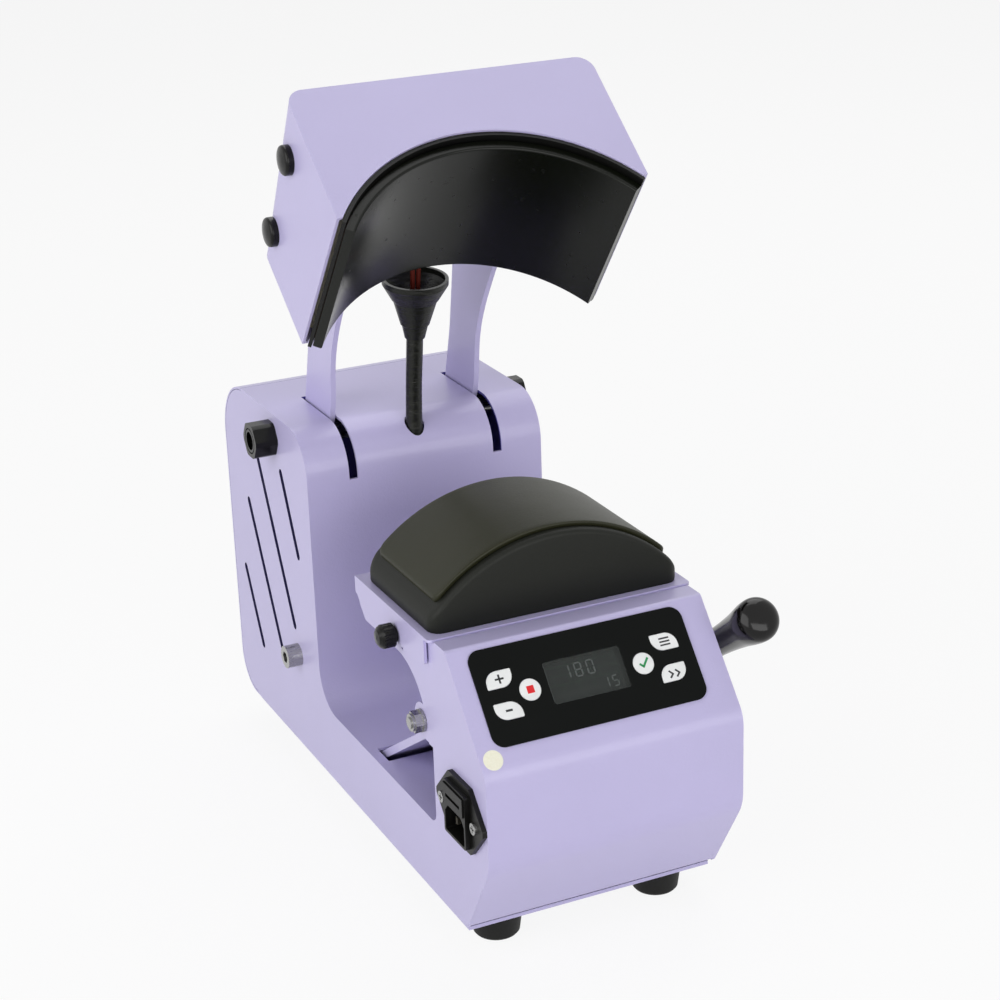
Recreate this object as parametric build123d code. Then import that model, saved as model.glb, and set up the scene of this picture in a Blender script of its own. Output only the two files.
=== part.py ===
"""Cap heat press: a curved platen on two arms comes down over a crowned pad.

Frame: millimetres, +Z up, +X across the press, the display side faces -Y, the floor is Z = 0.
The head is drawn closed over the pad and then turned open about the hinge by HEAD_OPEN.
"""
from build123d import *
import math
import os

os.makedirs("parts", exist_ok=True)

# the row's origin is the middle of the whole part's footprint box, on the floor
ROW_SHIFT = (-3.73, -2.10, 0.0)

# ---- body: driving dimensions -------------------------------------------------------------
BODY_HALF = 70.5          # half width over the side plates
PLATE_T = 1.5             # side plate sheet
SHEET_T = 1.5             # tower, front and arm sheet
COVER_T = 1.2             # rear cover sheet
PLATE_BOTTOM = 18.0       # lower edge of the side plates
BODY_REAR = 180.0
TOWER_TOP = 216.0
TOWER_FRONT = 43.0
THROAT_FLOOR = 60.0
COLUMN_REAR = -116.0
THROAT_ROOF = 140.0       # underside of the pad arm
ARM_TOP = 162.0
ARM_REAR = -26.0
FACE_TOP = (-135.5, 163.0)  # fold between the top band and the display face
FACE_ANGLE = 49.5         # display face, degrees below level
NOSE = -178.0             # foremost face
CHIN_TOP = 64.0
CHIN_BOTTOM = -149.5
REAR_TOP_R = 36.0
REAR_BOTTOM_R = 22.0
FRONT_TOP_R = 25.0
THROAT_R = 22.0
THROAT_ROOF_R = 36.0
NOSE_R = 15.0
CHIN_R = 25.0
COVER_TOP_EDGE = 146.0    # where the rear cover starts on the top
COVER_BOTTOM_EDGE = 156.0
COVER_GAP = 0.3
VENT_W = 4.8
VENTS = [
    ((85.6, 183.2), (65.6, 140.3)),
    ((127.0, 187.0), (79.4, 93.0)),
    ((145.2, 147.3), (104.6, 69.9)),
    ((160.2, 100.0), (138.2, 58.0)),
]

# ---- axes of the mechanism ----------------------------------------------------------------
HINGE = (96.5, 201.3)     # head hinge (y, z)
BELL = (75.5, 76.5)       # bell crank bolt
SHAFT = (-104.0, 113.0)   # handle shaft
HEAD_OPEN = 52.42         # travel of the head and of every crank
CRANK_R = 18.0
CRANK_ANGLE = -150.0
TAIL_R = 26.0
TAIL_ANGLE = -50.0
RUN_FIT = 0.05            # radial, turning fits
OPEN_FIT = 0.3            # radial, pivots that close the linkage
PIN_R = 4.0

# ---- head ---------------------------------------------------------------------------------
CROWN_Z = 115.5           # centre line of the pad crown and of the platen
PAD_R = 91.3
CLOSE_GAP = 0.8           # radial room between the pad and the closed platen
PLATEN_R = PAD_R + CLOSE_GAP
PLATEN_T = 4.9
MAT_T = 0.5
BACKING_T = 1.9
INSULATION_T = 6.5
PLATEN_FRONT = -122.0
PLATEN_REAR = -30.2
PLATEN_HALF_ANGLE = 55.4
STACK_R = PLATEN_R + PLATEN_T + MAT_T + BACKING_T   # outside of the arched stack
FRAME_Z = CROWN_Z + STACK_R + INSULATION_T + 2.6    # frame plate over the stack
HEAD_HALF = STACK_R * math.sin(math.radians(PLATEN_HALF_ANGLE)) + 2.0
HEAD_BOTTOM = CROWN_Z + STACK_R * math.cos(math.radians(PLATEN_HALF_ANGLE)) + 2.2
HEAD_T = 1.5
HEAD_TOP_FRONT = (-128.3, FRAME_Z + 30.2)
HEAD_TOP_REAR = (-28.1, FRAME_Z + 14.8)
HEAD_FOOT_FRONT = -126.3
HEAD_CORNER_R = 9.0
ARM_X = 41.8              # inner face of each arm
ARM_T = 3.0

# ---- pad ----------------------------------------------------------------------------------
TRAY_T = 1.5
TRAY_HALF = BODY_HALF + 2.5
TRAY_FRONT = -121.5
TRAY_REAR = -27.5
TRAY_SKIRT = 147.0
PAD_HALF = TRAY_HALF - 4.0
PAD_FRONT = -117.5
PAD_REAR = -34.0
PAD_CORNER = 7.0
PAD_RIM_R = 3.0           # rounded upper rim of the black block
SKIN_T = 2.6
SKIN_IN = (4.5, 5.6)      # how far the skin stops short of the sides and of the ends
SKIN_CORNER = 4.0
SKIN_EDGE = 0.8


# ---- helpers ------------------------------------------------------------------------------
def side_face(points, radii):
    """Closed outline drawn as (y, z) points, one corner radius each, standing in the YZ plane."""
    return Plane.YZ * make_face(FilletPolyline(*points, radius=radii, close=True))


def slab(face, x0, x1):
    """Side outline made solid between two X stations."""
    return Pos(x0, 0, 0) * extrude(face, amount=x1 - x0, dir=(1, 0, 0))


def block(x0, x1, y0, y1, z0, z1):
    return Pos((x0 + x1) / 2, (y0 + y1) / 2, (z0 + z1) / 2) * Box(x1 - x0, y1 - y0, z1 - z0)


def rod_x(at, r, x0, x1):
    """Round bar along X through the (y, z) point."""
    return Pos((x0 + x1) / 2, at[0], at[1]) * Rot(0, 90, 0) * Cylinder(r, x1 - x0)


def rod_y(x, z, r, y0, y1):
    return Pos(x, (y0 + y1) / 2, z) * Rot(90, 0, 0) * Cylinder(r, y1 - y0)


def rod_z(x, y, r, z0, z1):
    return Pos(x, y, (z0 + z1) / 2) * Cylinder(r, z1 - z0)


def hex_x(at, flats, x0, x1):
    """Hexagonal prism along X."""
    face = Plane.YZ * RegularPolygon(flats / 2, 6, major_radius=False)
    return Pos(x0, at[0], at[1]) * extrude(face, amount=x1 - x0, dir=(1, 0, 0))


def hex_z(x, y, flats, z0, z1):
    face = RegularPolygon(flats / 2, 6, major_radius=False)
    return Pos(x, y, z0) * extrude(face, amount=z1 - z0, dir=(0, 0, 1))


def other_side(part):
    return mirror(part, about=Plane.YZ)


def both(part):
    return part + other_side(part)


def polar(at, r, degrees):
    turn = math.radians(degrees)
    return (at[0] + r * math.cos(turn), at[1] + r * math.sin(turn))


def bar(ends, radii, x0, x1):
    """Flat bar with a round eye at each end; the eyes may differ in radius."""
    (ay, az), (by, bz) = ends
    ra, rb = radii
    length = math.hypot(by - ay, bz - az)
    heading = math.atan2(bz - az, by - ay)
    lean = math.acos((ra - rb) / length)
    corners = []
    for at, r, turn in [((ay, az), ra, lean), ((by, bz), rb, lean), ((by, bz), rb, -lean), ((ay, az), ra, -lean)]:
        corners.append((at[0] + r * math.cos(heading + turn), at[1] + r * math.sin(heading + turn)))
    web = slab(Plane.YZ * make_face(Polyline(*corners, close=True)), x0, x1)
    return web + rod_x(ends[0], ra, x0, x1) + rod_x(ends[1], rb, x0, x1)


def head_pose(part):
    """Turns a piece drawn closed to its open place."""
    y, z = HINGE
    return Pos(0, y, z) * Rot(-HEAD_OPEN, 0, 0) * Pos(0, -y, -z) * part


reach = []


def keep(name, *shapes):
    solids = [solid for shape in shapes for solid in shape.solids()]
    node = Pos(*ROW_SHIFT) * Compound(solids)
    reach.append(node.bounding_box())
    bad = [solid for solid in solids if not solid.is_valid]
    export_step(node, "parts/" + name + ".step")
    print(name, len(solids), "solid(s)", round(node.volume / 1000, 2), "cm3", "INVALID" if bad else "")


# ---- side outline of the body -------------------------------------------------------------
face_slope = math.radians(FACE_ANGLE)
nose_drop = (FACE_TOP[0] - NOSE) * math.tan(face_slope)
BODY_POINTS = [
    (CHIN_BOTTOM, PLATE_BOTTOM),
    (BODY_REAR, PLATE_BOTTOM),
    (BODY_REAR, TOWER_TOP),
    (TOWER_FRONT, TOWER_TOP),
    (TOWER_FRONT, THROAT_FLOOR),
    (COLUMN_REAR, THROAT_FLOOR),
    (COLUMN_REAR, 103),
    (COLUMN_REAR + 5, 103),
    (COLUMN_REAR + 5, THROAT_ROOF),
    (ARM_REAR - 7, THROAT_ROOF),
    (ARM_REAR, THROAT_ROOF + 7),
    (ARM_REAR, ARM_TOP),
    (-123, ARM_TOP),
    (-123, FACE_TOP[1]),
    FACE_TOP,
    (NOSE, FACE_TOP[1] - nose_drop),
    (NOSE, CHIN_TOP),
]
BODY_RADII = [
    2, REAR_BOTTOM_R, REAR_TOP_R, FRONT_TOP_R, THROAT_R, 6, 0, 0, THROAT_ROOF_R, 3, 3, 0, 0, 0, 3,
    NOSE_R, CHIN_R,
]
outline = side_face(BODY_POINTS, BODY_RADII)
inner = BODY_HALF - PLATE_T
sheet_ring = outline - offset(outline, amount=-SHEET_T, kind=Kind.INTERSECTION)
cover_ring = outline - offset(outline, amount=-COVER_T, kind=Kind.INTERSECTION)
plate_cut = outline - offset(outline, amount=-COVER_T - COVER_GAP, kind=Kind.INTERSECTION)


def ring_part(ring, half, y0, y1, z0, z1):
    """The stretch of a sheet ring that lies inside a YZ window."""
    return slab(ring, -half, half) & block(-200, 200, y0, y1, z0, z1)


cover_window = [(COVER_TOP_EDGE, 100, 300), (COVER_BOTTOM_EDGE, 0, 100)]

# side plates: one C-shaped plate each, with the lug for the handle shaft
LUG_R = 9.3
lug = rod_x(SHAFT, LUG_R, inner, BODY_HALF)
lug += block(inner, BODY_HALF, COLUMN_REAR, SHAFT[0], SHAFT[1] - LUG_R, SHAFT[1] + LUG_R)
plate = slab(outline, inner, BODY_HALF) + lug
for y0, z0, z1 in cover_window:
    plate -= slab(plate_cut, inner - 1, BODY_HALF + 1) & block(0, 200, y0 - COVER_GAP, 400, z0, z1)
for (ay, az), (by, bz) in VENTS:
    plate -= bar([(ay, az), (by, bz)], (VENT_W / 2, VENT_W / 2), inner - 1, BODY_HALF + 1)
HINGE_SHAFT_R = 6.0
BELL_BOLT_R = 4.0
HANDLE_SHAFT_R = 5.0
THUMB = (-80.0, 151.0)
THUMB_STUD_R = 2.5
plate -= rod_x(HINGE, HINGE_SHAFT_R, inner - 1, BODY_HALF + 1)
plate -= rod_x(BELL, BELL_BOLT_R, inner - 1, BODY_HALF + 1)
plate -= rod_x(SHAFT, HANDLE_SHAFT_R + RUN_FIT, inner - 1, BODY_HALF + 1)
plate -= rod_x(THUMB, THUMB_STUD_R + RUN_FIT, inner - 1, BODY_HALF + 1)
plate -= bar([(-82.0, 143.9), (-82.0, 145.7)], (1.1, 1.1), inner - 1, BODY_HALF + 1)
# inward flanges: behind the rear cover, and four tabs over the bottom plate
FLANGE_W = 12.0
FLANGE_BACK = BODY_REAR - COVER_T
plate += block(inner - FLANGE_W, inner + 0.5, FLANGE_BACK - PLATE_T, FLANGE_BACK, 44, 176)
TAB_Y = (-136.0, 140.0)
for y in TAB_Y:
    plate += block(inner - FLANGE_W, inner + 0.5, y - 7, y + 7, PLATE_BOTTOM, PLATE_BOTTOM + PLATE_T)
    plate -= rod_z(inner - 6, y, 1.6, PLATE_BOTTOM - 1, PLATE_BOTTOM + 4)
for z in (60, 160):
    plate -= rod_y(inner - 6, z, 1.6, FLANGE_BACK - 4, FLANGE_BACK + 2)

# mains inlet on the left plate: flange, raised block with the socket, sleeve behind the plate
INLET = (-150.7, 84.3)
INLET_FLANGE_T = 2.5
INLET_BLOCK_T = 2.6
INLET_DEPTH = 22.0
inlet_cut = block(-BODY_HALF - 1, -inner + 1, INLET[0] - 12.6, INLET[0] + 12.6, INLET[1] - 15.1, INLET[1] + 14.1)
left_plate = other_side(plate) - inlet_cut
for side in (-1, 1):
    left_plate -= rod_x((INLET[0] + side * 18.6, INLET[1]), 1.6, -BODY_HALF - 1, -inner + 1)
keep("right_side_plate", plate)
keep("left_side_plate", left_plate)

# tower sheet: top, front wall, throat floor and the turned-up column wall
COLUMN_WALL_TOP = 84.0
tower = ring_part(sheet_ring, inner, TOWER_FRONT - 30, COVER_TOP_EDGE - COVER_GAP, 100, 300)
tower += ring_part(sheet_ring, inner, COLUMN_REAR - 3, TOWER_FRONT + 6, THROAT_FLOOR - 4, 100) & block(
    -200, 200, COLUMN_REAR - 3, 100, THROAT_FLOOR - 4, 100)
tower -= block(-200, 200, COLUMN_REAR - 3, COLUMN_REAR + 3, COLUMN_WALL_TOP, 120)
SLOT_X = ARM_X + ARM_T / 2
SLOT_W = 5.2
SLOT_REAR = 112.6
SLOT_LOW = 188.5
arm_slot = block(SLOT_X - SLOT_W / 2, SLOT_X + SLOT_W / 2, TOWER_FRONT - 5, SLOT_REAR, SLOT_LOW, 220)
tower -= both(arm_slot)
CABLE_X = -2.2
CABLE_HOLE_Y = 52.6
CABLE_R = 4.55
tower -= rod_z(CABLE_X, CABLE_HOLE_Y, 5.4, 190, 220)
LINK_SLOT = (-41.2, -25.0)
LINK_HALF = inner - 6.5
tower -= block(-LINK_HALF - 2.5, LINK_HALF + 2.5, LINK_SLOT[0], LINK_SLOT[1], THROAT_FLOOR - 4, THROAT_FLOOR + 4)
CLIP_Z = 160.0
tower -= rod_y(CABLE_X + 11, CLIP_Z, 1.6, TOWER_FRONT - 2, TOWER_FRONT + 4)
keep("tower_sheet", tower)

# pad arm lining, and the front panel with the display face
LINING_LOW = 126.0
lining = ring_part(sheet_ring, inner, -122.7, ARM_REAR + 1, LINING_LOW, ARM_TOP + 0.5)
keep("arm_lining", lining)
front = ring_part(sheet_ring, inner, NOSE - 2, -123, PLATE_BOTTOM + SHEET_T + 0.1, FACE_TOP[1] + 1)

# display face: its own plane, u to the right and v down the slope
face_plane = Plane(
    origin=(0, FACE_TOP[0], FACE_TOP[1]),
    x_dir=(1, 0, 0),
    z_dir=(0, -math.sin(face_slope), math.cos(face_slope)),
)


def on_face(u, v, depth, shape):
    """Shape moved to a spot of the display face; depth is the height over the sheet."""
    return face_plane * Pos(u, -v, depth) * shape


OVERLAY_T = 0.8
OVERLAY_HALF = 58.5
OVERLAY_V = (3.1, 52.3)
OVERLAY_U = -2.5
KEY_T = 0.9
KEY_LIFT = 0.5            # room under each key cap
KEY_GAP = 0.15
STEM_R = 1.5
STEM_L = 5.0
BOARD_DEPTH = 10.0
WINDOW = (-24.5, 17.5, 16.3, 38.0)
LEAF = (14.0, 8.6)
ROUND_KEY_R = 5.5
LEAF_R = 6.2
KEYS = {
    "key_up": (-48.4, 19.5, "leaf_right"),
    "key_down": (-48.4, 35.5, "leaf_left"),
    "key_stop": (-34.5, 27.9, "round"),
    "key_enter": (27.3, 28.2, "round"),
    "key_set": (41.8, 19.8, "leaf_left"),
    "key_mode": (41.5, 36.0, "leaf_right"),
}


def key_outline(kind, grow):
    if kind == "round":
        return Circle(ROUND_KEY_R + grow)
    w = LEAF[0] / 2 + grow
    h = LEAF[1] / 2 + grow
    tip = 0.6
    radii = [tip, LEAF_R, tip, LEAF_R] if kind == "leaf_right" else [LEAF_R, tip, LEAF_R, tip]
    return make_face(FilletPolyline((-w, -h), (w, -h), (w, h), (-w, h), radius=radii, close=True))


v_mid = (OVERLAY_V[0] + OVERLAY_V[1]) / 2
v_half = (OVERLAY_V[1] - OVERLAY_V[0]) / 2
overlay = on_face(OVERLAY_U, v_mid, 0, extrude(RectangleRounded(2 * OVERLAY_HALF, 2 * v_half, 6.5), OVERLAY_T))
window_u = (WINDOW[0] + WINDOW[1]) / 2
window_v = (WINDOW[2] + WINDOW[3]) / 2
window_face = RectangleRounded(WINDOW[1] - WINDOW[0], WINDOW[3] - WINDOW[2], 1.5)
overlay -= on_face(window_u, window_v, -1, extrude(window_face, 4))
front -= on_face(window_u, window_v, -SHEET_T - 1, extrude(offset(window_face, 1), 4))
for name, (u, v, kind) in KEYS.items():
    overlay -= on_face(u, v, -1, extrude(key_outline(kind, KEY_GAP), 4))
    front -= on_face(u, v, -SHEET_T - 1, extrude(Circle(STEM_R + 0.4), 4))
    cap = extrude(key_outline(kind, 0), KEY_T)
    cap = chamfer(cap.faces().sort_by(Axis.Z)[-1].edges(), 0.25)
    stem = Pos(0, 0, -STEM_L / 2) * Cylinder(STEM_R, STEM_L)
    keep(name, on_face(u, v, KEY_LIFT, cap + stem))
keep("keypad_overlay", overlay)
lens = on_face(window_u, window_v, -SHEET_T, extrude(offset(window_face, 1), SHEET_T))
lens += on_face(window_u, window_v, 0, extrude(window_face, OVERLAY_T))
keep("display_lens", lens)
keep("front_panel", front)

# electronics behind the face: board on four posts, switches under the keys, display module
BOARD_HALF = 56.0
board_face = RectangleRounded(2 * BOARD_HALF, 44, 2)
board = on_face(OVERLAY_U, 29, -BOARD_DEPTH, extrude(board_face, 1.6))
for du in (3 - BOARD_HALF, BOARD_HALF - 3):
    for dv in (-19, 19):
        board += on_face(OVERLAY_U + du, 29 + dv, (-BOARD_DEPTH + 1.6 - SHEET_T) / 2, Cylinder(
            2, BOARD_DEPTH - 1.6 - SHEET_T))
for name, (u, v, kind) in KEYS.items():
    switch_top = KEY_LIFT - STEM_L - 0.6
    tall = switch_top + BOARD_DEPTH - 1.6
    board += on_face(u, v, -BOARD_DEPTH + 1.6 + tall / 2, Box(6, 6, tall))
board += on_face(20, 30, -BOARD_DEPTH - 11, Box(32, 26, 22))
board += on_face(-20, 22, -BOARD_DEPTH - 8, Box(16, 20, 16))
CABLE_BLOCK = (-2.2, 45.0, 24.0, 13.0, 12.0)
board += on_face(CABLE_BLOCK[0], CABLE_BLOCK[1], -BOARD_DEPTH - CABLE_BLOCK[4] / 2, Box(*CABLE_BLOCK[2:]))
keep("control_board", board)
module = on_face(window_u, window_v, (-BOARD_DEPTH + 1.6 - SHEET_T) / 2, Box(44, 24, BOARD_DEPTH - 1.6 - SHEET_T))
keep("display_module", module)

# rear cover with its four screws
rear = None
for y0, z0, z1 in cover_window:
    piece = ring_part(cover_ring, BODY_HALF, y0, 400, z0, z1)
    rear = piece if rear is None else rear + piece
screws = None
for z in (60, 160):
    rear -= both(rod_y(inner - 6, z, 1.6, BODY_REAR - 4, BODY_REAR + 2))
    screw = rod_y(inner - 6, z, 3.0, BODY_REAR, BODY_REAR + 2.2) + rod_y(inner - 6, z, 1.5, BODY_REAR - 9, BODY_REAR + 1)
    screw -= block(inner - 8, inner - 4, BODY_REAR + 1.3, BODY_REAR + 3, z - 0.4, z + 0.4)
    screw -= block(inner - 6.4, inner - 5.6, BODY_REAR + 1.3, BODY_REAR + 3, z - 2, z + 2)
    screws = both(screw) if screws is None else screws + both(screw)
keep("rear_cover", rear)

# bottom plate on four tabs, rubber feet, and their screws
BOTTOM_T = 2.0
FOOT_H = 14.5
FOOT_X = inner - 23.0
FOOT_Y = (-130.0, 135.0)
bottom = block(-inner + 0.6, inner - 0.6, CHIN_BOTTOM + 3, 156, FOOT_H, FOOT_H + BOTTOM_T)
lip = block(inner - 2.6, inner - 0.6, -120, 124, FOOT_H, FOOT_H + 11)
bottom += both(lip)
feet = None
foot_screws = None
tab_screws = None
foot_shape = revolve(
    Plane.XZ * make_face(Polyline(
        (2.1, FOOT_H), (13.5, FOOT_H), (13.5, FOOT_H - 2.5), (12.0, 1.2), (11.0, 0), (6.0, 0), (5.0, 1.0),
        (5.0, 8.5), (2.1, 8.5), close=True)), Axis.Z)
for y in FOOT_Y:
    for x in (-FOOT_X, FOOT_X):
        bottom -= rod_z(x, y, 2.1, FOOT_H - 1, FOOT_H + 4)
        foot = Pos(x, y, 0) * foot_shape
        feet = foot if feet is None else feet + foot
        screw = rod_z(x, y, 4.2, 5.7, 8.5) + rod_z(x, y, 2.0, 6, FOOT_H + 8)
        screw += hex_z(x, y, 7, FOOT_H + BOTTOM_T, FOOT_H + BOTTOM_T + 3.2)
        foot_screws = screw if foot_screws is None else foot_screws + screw
for y in TAB_Y:
    for x in (6 - inner, inner - 6):
        bottom -= rod_z(x, y, 1.6, FOOT_H - 1, FOOT_H + 4)
        screw = rod_z(x, y, 3.0, FOOT_H - 1.8, FOOT_H) + rod_z(x, y, 1.5, FOOT_H - 1, 24)
        screw += rod_z(x, y, 3.4, FOOT_H + BOTTOM_T, PLATE_BOTTOM)
        screw += hex_z(x, y, 5.5, PLATE_BOTTOM + PLATE_T, PLATE_BOTTOM + PLATE_T + 2.4)
        screw -= block(x - 2, x + 2, y - 0.4, y + 0.4, FOOT_H - 2, FOOT_H - 1.1)
        screw -= block(x - 0.4, x + 0.4, y - 2, y + 2, FOOT_H - 2, FOOT_H - 1.1)
        tab_screws = screw if tab_screws is None else tab_screws + screw
keep("bottom_plate", bottom)
keep("rubber_feet", feet)
keep("foot_screws", foot_screws)

# pad tray with folded sides, held by two thumb screws
tray_top = ARM_TOP + TRAY_T
tray = extrude(Pos(0, (TRAY_FRONT + TRAY_REAR) / 2) * RectangleRounded(
    2 * TRAY_HALF, TRAY_REAR - TRAY_FRONT, 2.5), TRAY_T)
tray = Pos(0, 0, ARM_TOP) * tray
skirt_points = [
    (TRAY_FRONT + 5.5, tray_top), (TRAY_FRONT + 5.5, TRAY_SKIRT + 2), (TRAY_FRONT + 12, TRAY_SKIRT),
    (TRAY_REAR - 9, TRAY_SKIRT), (TRAY_REAR - 2, TRAY_SKIRT + 7), (TRAY_REAR, TRAY_SKIRT + 7), (TRAY_REAR, tray_top)]
skirt = slab(side_face(skirt_points, [0, 1, 2, 3, 2, 1, 0]), TRAY_HALF - TRAY_T, TRAY_HALF)
skirt -= rod_x(THUMB, THUMB_STUD_R + 0.3, TRAY_HALF - 4, TRAY_HALF + 1)
skirt -= bar([(-82.0, 143.9), (-82.0, 146.7)], (1.6, 1.6), TRAY_HALF - 4, TRAY_HALF + 1)
tray += both(skirt)
keep("pad_tray", tray)

# thumb screws: ribbed knob, domed end, stud through tray side and plate
KNOB_R = 6.25
KNOB_L = 10.5
knob_profile = make_face(Polyline(
    (0, 0), (4.2, 0), (4.2, 1.2), (KNOB_R, 1.6), (KNOB_R, KNOB_L - 3.2), (KNOB_R - 0.9, KNOB_L - 1.6),
    (KNOB_R - 2.6, KNOB_L - 0.5), (0, KNOB_L), close=True))
knob = revolve(Plane.XZ * knob_profile, Axis.Z)
for i in range(16):
    knob -= Rot(0, 0, i * 22.5) * Pos(KNOB_R + 0.25, 0, KNOB_L / 2) * Cylinder(0.65, KNOB_L)
knob += Pos(0, 0, -4.5) * Cylinder(THUMB_STUD_R, 10)
knob_left = Pos(-TRAY_HALF - 0.05, *THUMB) * Rot(0, -90, 0) * knob
keep("thumb_screw_left", knob_left)
keep("thumb_screw_right", other_side(knob_left))

# pad: black block with a rounded rim, and a crowned skin that stops short of the rim
pad_plan = Pos(0, (PAD_FRONT + PAD_REAR) / 2) * RectangleRounded(2 * PAD_HALF, PAD_REAR - PAD_FRONT, PAD_CORNER)
pad_block = Pos(0, 0, tray_top) * extrude(pad_plan, 60)


def crown(r, y0, y1):
    return rod_y(0, CROWN_Z, r, y0, y1)


core_r = PAD_R - SKIN_T
pad_core = pad_block & crown(core_r, PAD_FRONT - 5, PAD_REAR + 5)
rim = [e for e in pad_core.edges() if e.center().Z > tray_top + 1 and e.geom_type != GeomType.LINE]
rim += [e for e in pad_core.edges().filter_by(Axis.Y) if e.center().Z > tray_top + 1]
pad_core = fillet(rim, PAD_RIM_R)
skin_plan = RectangleRounded(2 * (PAD_HALF - SKIN_IN[0]), PAD_REAR - PAD_FRONT - 2 * SKIN_IN[1], SKIN_CORNER)
skin = Pos(0, (PAD_FRONT + PAD_REAR) / 2, tray_top) * extrude(skin_plan, 60)
skin &= crown(PAD_R, PAD_FRONT - 5, PAD_REAR + 5) - crown(core_r, PAD_FRONT - 5, PAD_REAR + 5)
skin_rim = [e for e in skin.edges() if math.hypot((e @ 0.5).X, (e @ 0.5).Z - CROWN_Z) > PAD_R - 0.05]
skin = fillet(skin_rim, SKIN_EDGE)
keep("pad_core", pad_core)
keep("pad_skin", skin)

# ---- mains inlet ---------------------------------------------------------------------------
iy, iz = INLET
flange_pts = [(iy - 27, iz + 1.5), (iy - 27, iz - 1.5), (iy - 12, iz - 18), (iy + 12, iz - 18), (iy + 27, iz - 1.5),
              (iy + 27, iz + 1.5), (iy + 12, iz + 17.5), (iy - 12, iz + 17.5)]
plate_x = -BODY_HALF
flange_x = plate_x - INLET_FLANGE_T
block_x = flange_x - INLET_BLOCK_T
inlet = slab(side_face(flange_pts, [1.5] * 8), flange_x, plate_x)
inlet += slab(side_face([(iy - 12.5, iz - 15), (iy + 12.5, iz - 15), (iy + 12.5, iz + 14), (iy - 12.5, iz + 14)],
                        [1.5] * 4), block_x, plate_x)
inlet += block(plate_x - 1, plate_x + INLET_DEPTH, iy - 12.4, iy + 12.4, iz - 14.9, iz + 13.9)
socket_pts = [(iy - 11, iz - 13.6), (iy + 11, iz - 13.6), (iy + 11, iz - 3), (iy + 7.5, iz + 0.8), (iy - 7.5, iz + 0.8),
              (iy - 11, iz - 3)]
inlet -= slab(side_face(socket_pts, [1.0] * 6), block_x - 1, plate_x + 14)
DRAWER_TRAVEL = 14.0
DRAWER = (iy - 11.2, iy + 11.2, iz + 2.6, iz + 12.4)
inlet -= block(block_x - 1, plate_x + 18, DRAWER[0] - 0.3, DRAWER[1] + 0.3, DRAWER[2] - 0.3, DRAWER[3] + 0.3)
inlet_screws = None
pins = None
for side in (-1, 1):
    inlet -= rod_x((iy + side * 18.6, iz), 1.6, flange_x - 1, plate_x + 1)
    screw = rod_x((iy + side * 18.6, iz), 3.0, flange_x - 1.6, flange_x)
    screw += rod_x((iy + side * 18.6, iz), 1.5, flange_x - 0.5, plate_x + 8)
    screw += hex_x((iy + side * 18.6, iz), 5.5, -inner, -inner + 2.4)
    screw -= block(flange_x - 2, flange_x - 1, iy + side * 18.6 - 2, iy + side * 18.6 + 2, iz - 0.4, iz + 0.4)
    screw -= block(flange_x - 2, flange_x - 1, iy + side * 18.6 - 0.4, iy + side * 18.6 + 0.4, iz - 2, iz + 2)
    inlet_screws = screw if inlet_screws is None else inlet_screws + screw
for y, z in [(iy, iz - 4.2), (iy - 7, iz - 8.4), (iy + 7, iz - 8.4)]:
    inlet -= block(plate_x + 13, plate_x + INLET_DEPTH + 1, y - 1, y + 1, z - 2, z + 2)
    pin = block(plate_x - 1, plate_x + INLET_DEPTH + 7, y - 1, y + 1, z - 2, z + 2)
    pins = pin if pins is None else pins + pin
keep("inlet_housing", inlet)
keep("inlet_pins", pins)
keep("inlet_screws", inlet_screws)
drawer = block(block_x - 0.8, plate_x + 17, *DRAWER)
drawer = drawer - block(block_x - 2, block_x + 0.4, DRAWER[0] + 3, DRAWER[1] - 3, DRAWER[2] + 3.2, DRAWER[2] + 5.0)
drawer -= block(plate_x + 1, plate_x + 13, DRAWER[0] + 1.6, DRAWER[1] - 1.6, DRAWER[2] + 1.6, DRAWER[3] + 2)
keep("fuse_drawer", drawer)
fuse_at = (plate_x + 7, DRAWER[2] + 1.6 + 2.6)
fuse = rod_y(fuse_at[0], fuse_at[1], 2.2, DRAWER[0] + 3.2, DRAWER[1] - 3.2)
fuse += rod_y(fuse_at[0], fuse_at[1], 2.6, DRAWER[0] + 1.6, DRAWER[0] + 6.4)
fuse += rod_y(fuse_at[0], fuse_at[1], 2.6, DRAWER[1] - 6.4, DRAWER[1] - 1.6)
keep("fuse", fuse)

# ---- pivots of the body ---------------------------------------------------------------------
CAP_L = 13.0
CAP_FLATS = 19.0
shaft_end = BODY_HALF + 6
keep("hinge_shaft", rod_x(HINGE, HINGE_SHAFT_R, -shaft_end, shaft_end))
pivot_cap = hex_x(HINGE, CAP_FLATS, BODY_HALF, BODY_HALF + CAP_L)
pivot_cap &= rod_x(HINGE, CAP_FLATS / 2 + 0.75, BODY_HALF, BODY_HALF + CAP_L)
pivot_cap -= rod_x(HINGE, HINGE_SHAFT_R, BODY_HALF - 1, shaft_end)
ring_edge = rod_x(HINGE, 7.4, BODY_HALF + CAP_L - 0.8, BODY_HALF + CAP_L + 1) - rod_x(
    HINGE, 6.6, BODY_HALF + CAP_L - 0.8, BODY_HALF + CAP_L + 1)
pivot_cap -= rod_x(HINGE, 5.2, BODY_HALF + CAP_L - 3.0, BODY_HALF + CAP_L + 1)
pivot_cap -= ring_edge
keep("pivot_caps", both(pivot_cap))
BOLT_HEAD_R = 6.5
BOLT_HEAD_L = 8.5
bolt = rod_x(BELL, BELL_BOLT_R, -BODY_HALF - 1, BODY_HALF + 9)
bolt += rod_x(BELL, BOLT_HEAD_R, -BODY_HALF - BOLT_HEAD_L, -BODY_HALF)
bolt -= hex_x(BELL, 6.0, -BODY_HALF - BOLT_HEAD_L - 1, -BODY_HALF - 4)
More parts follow.
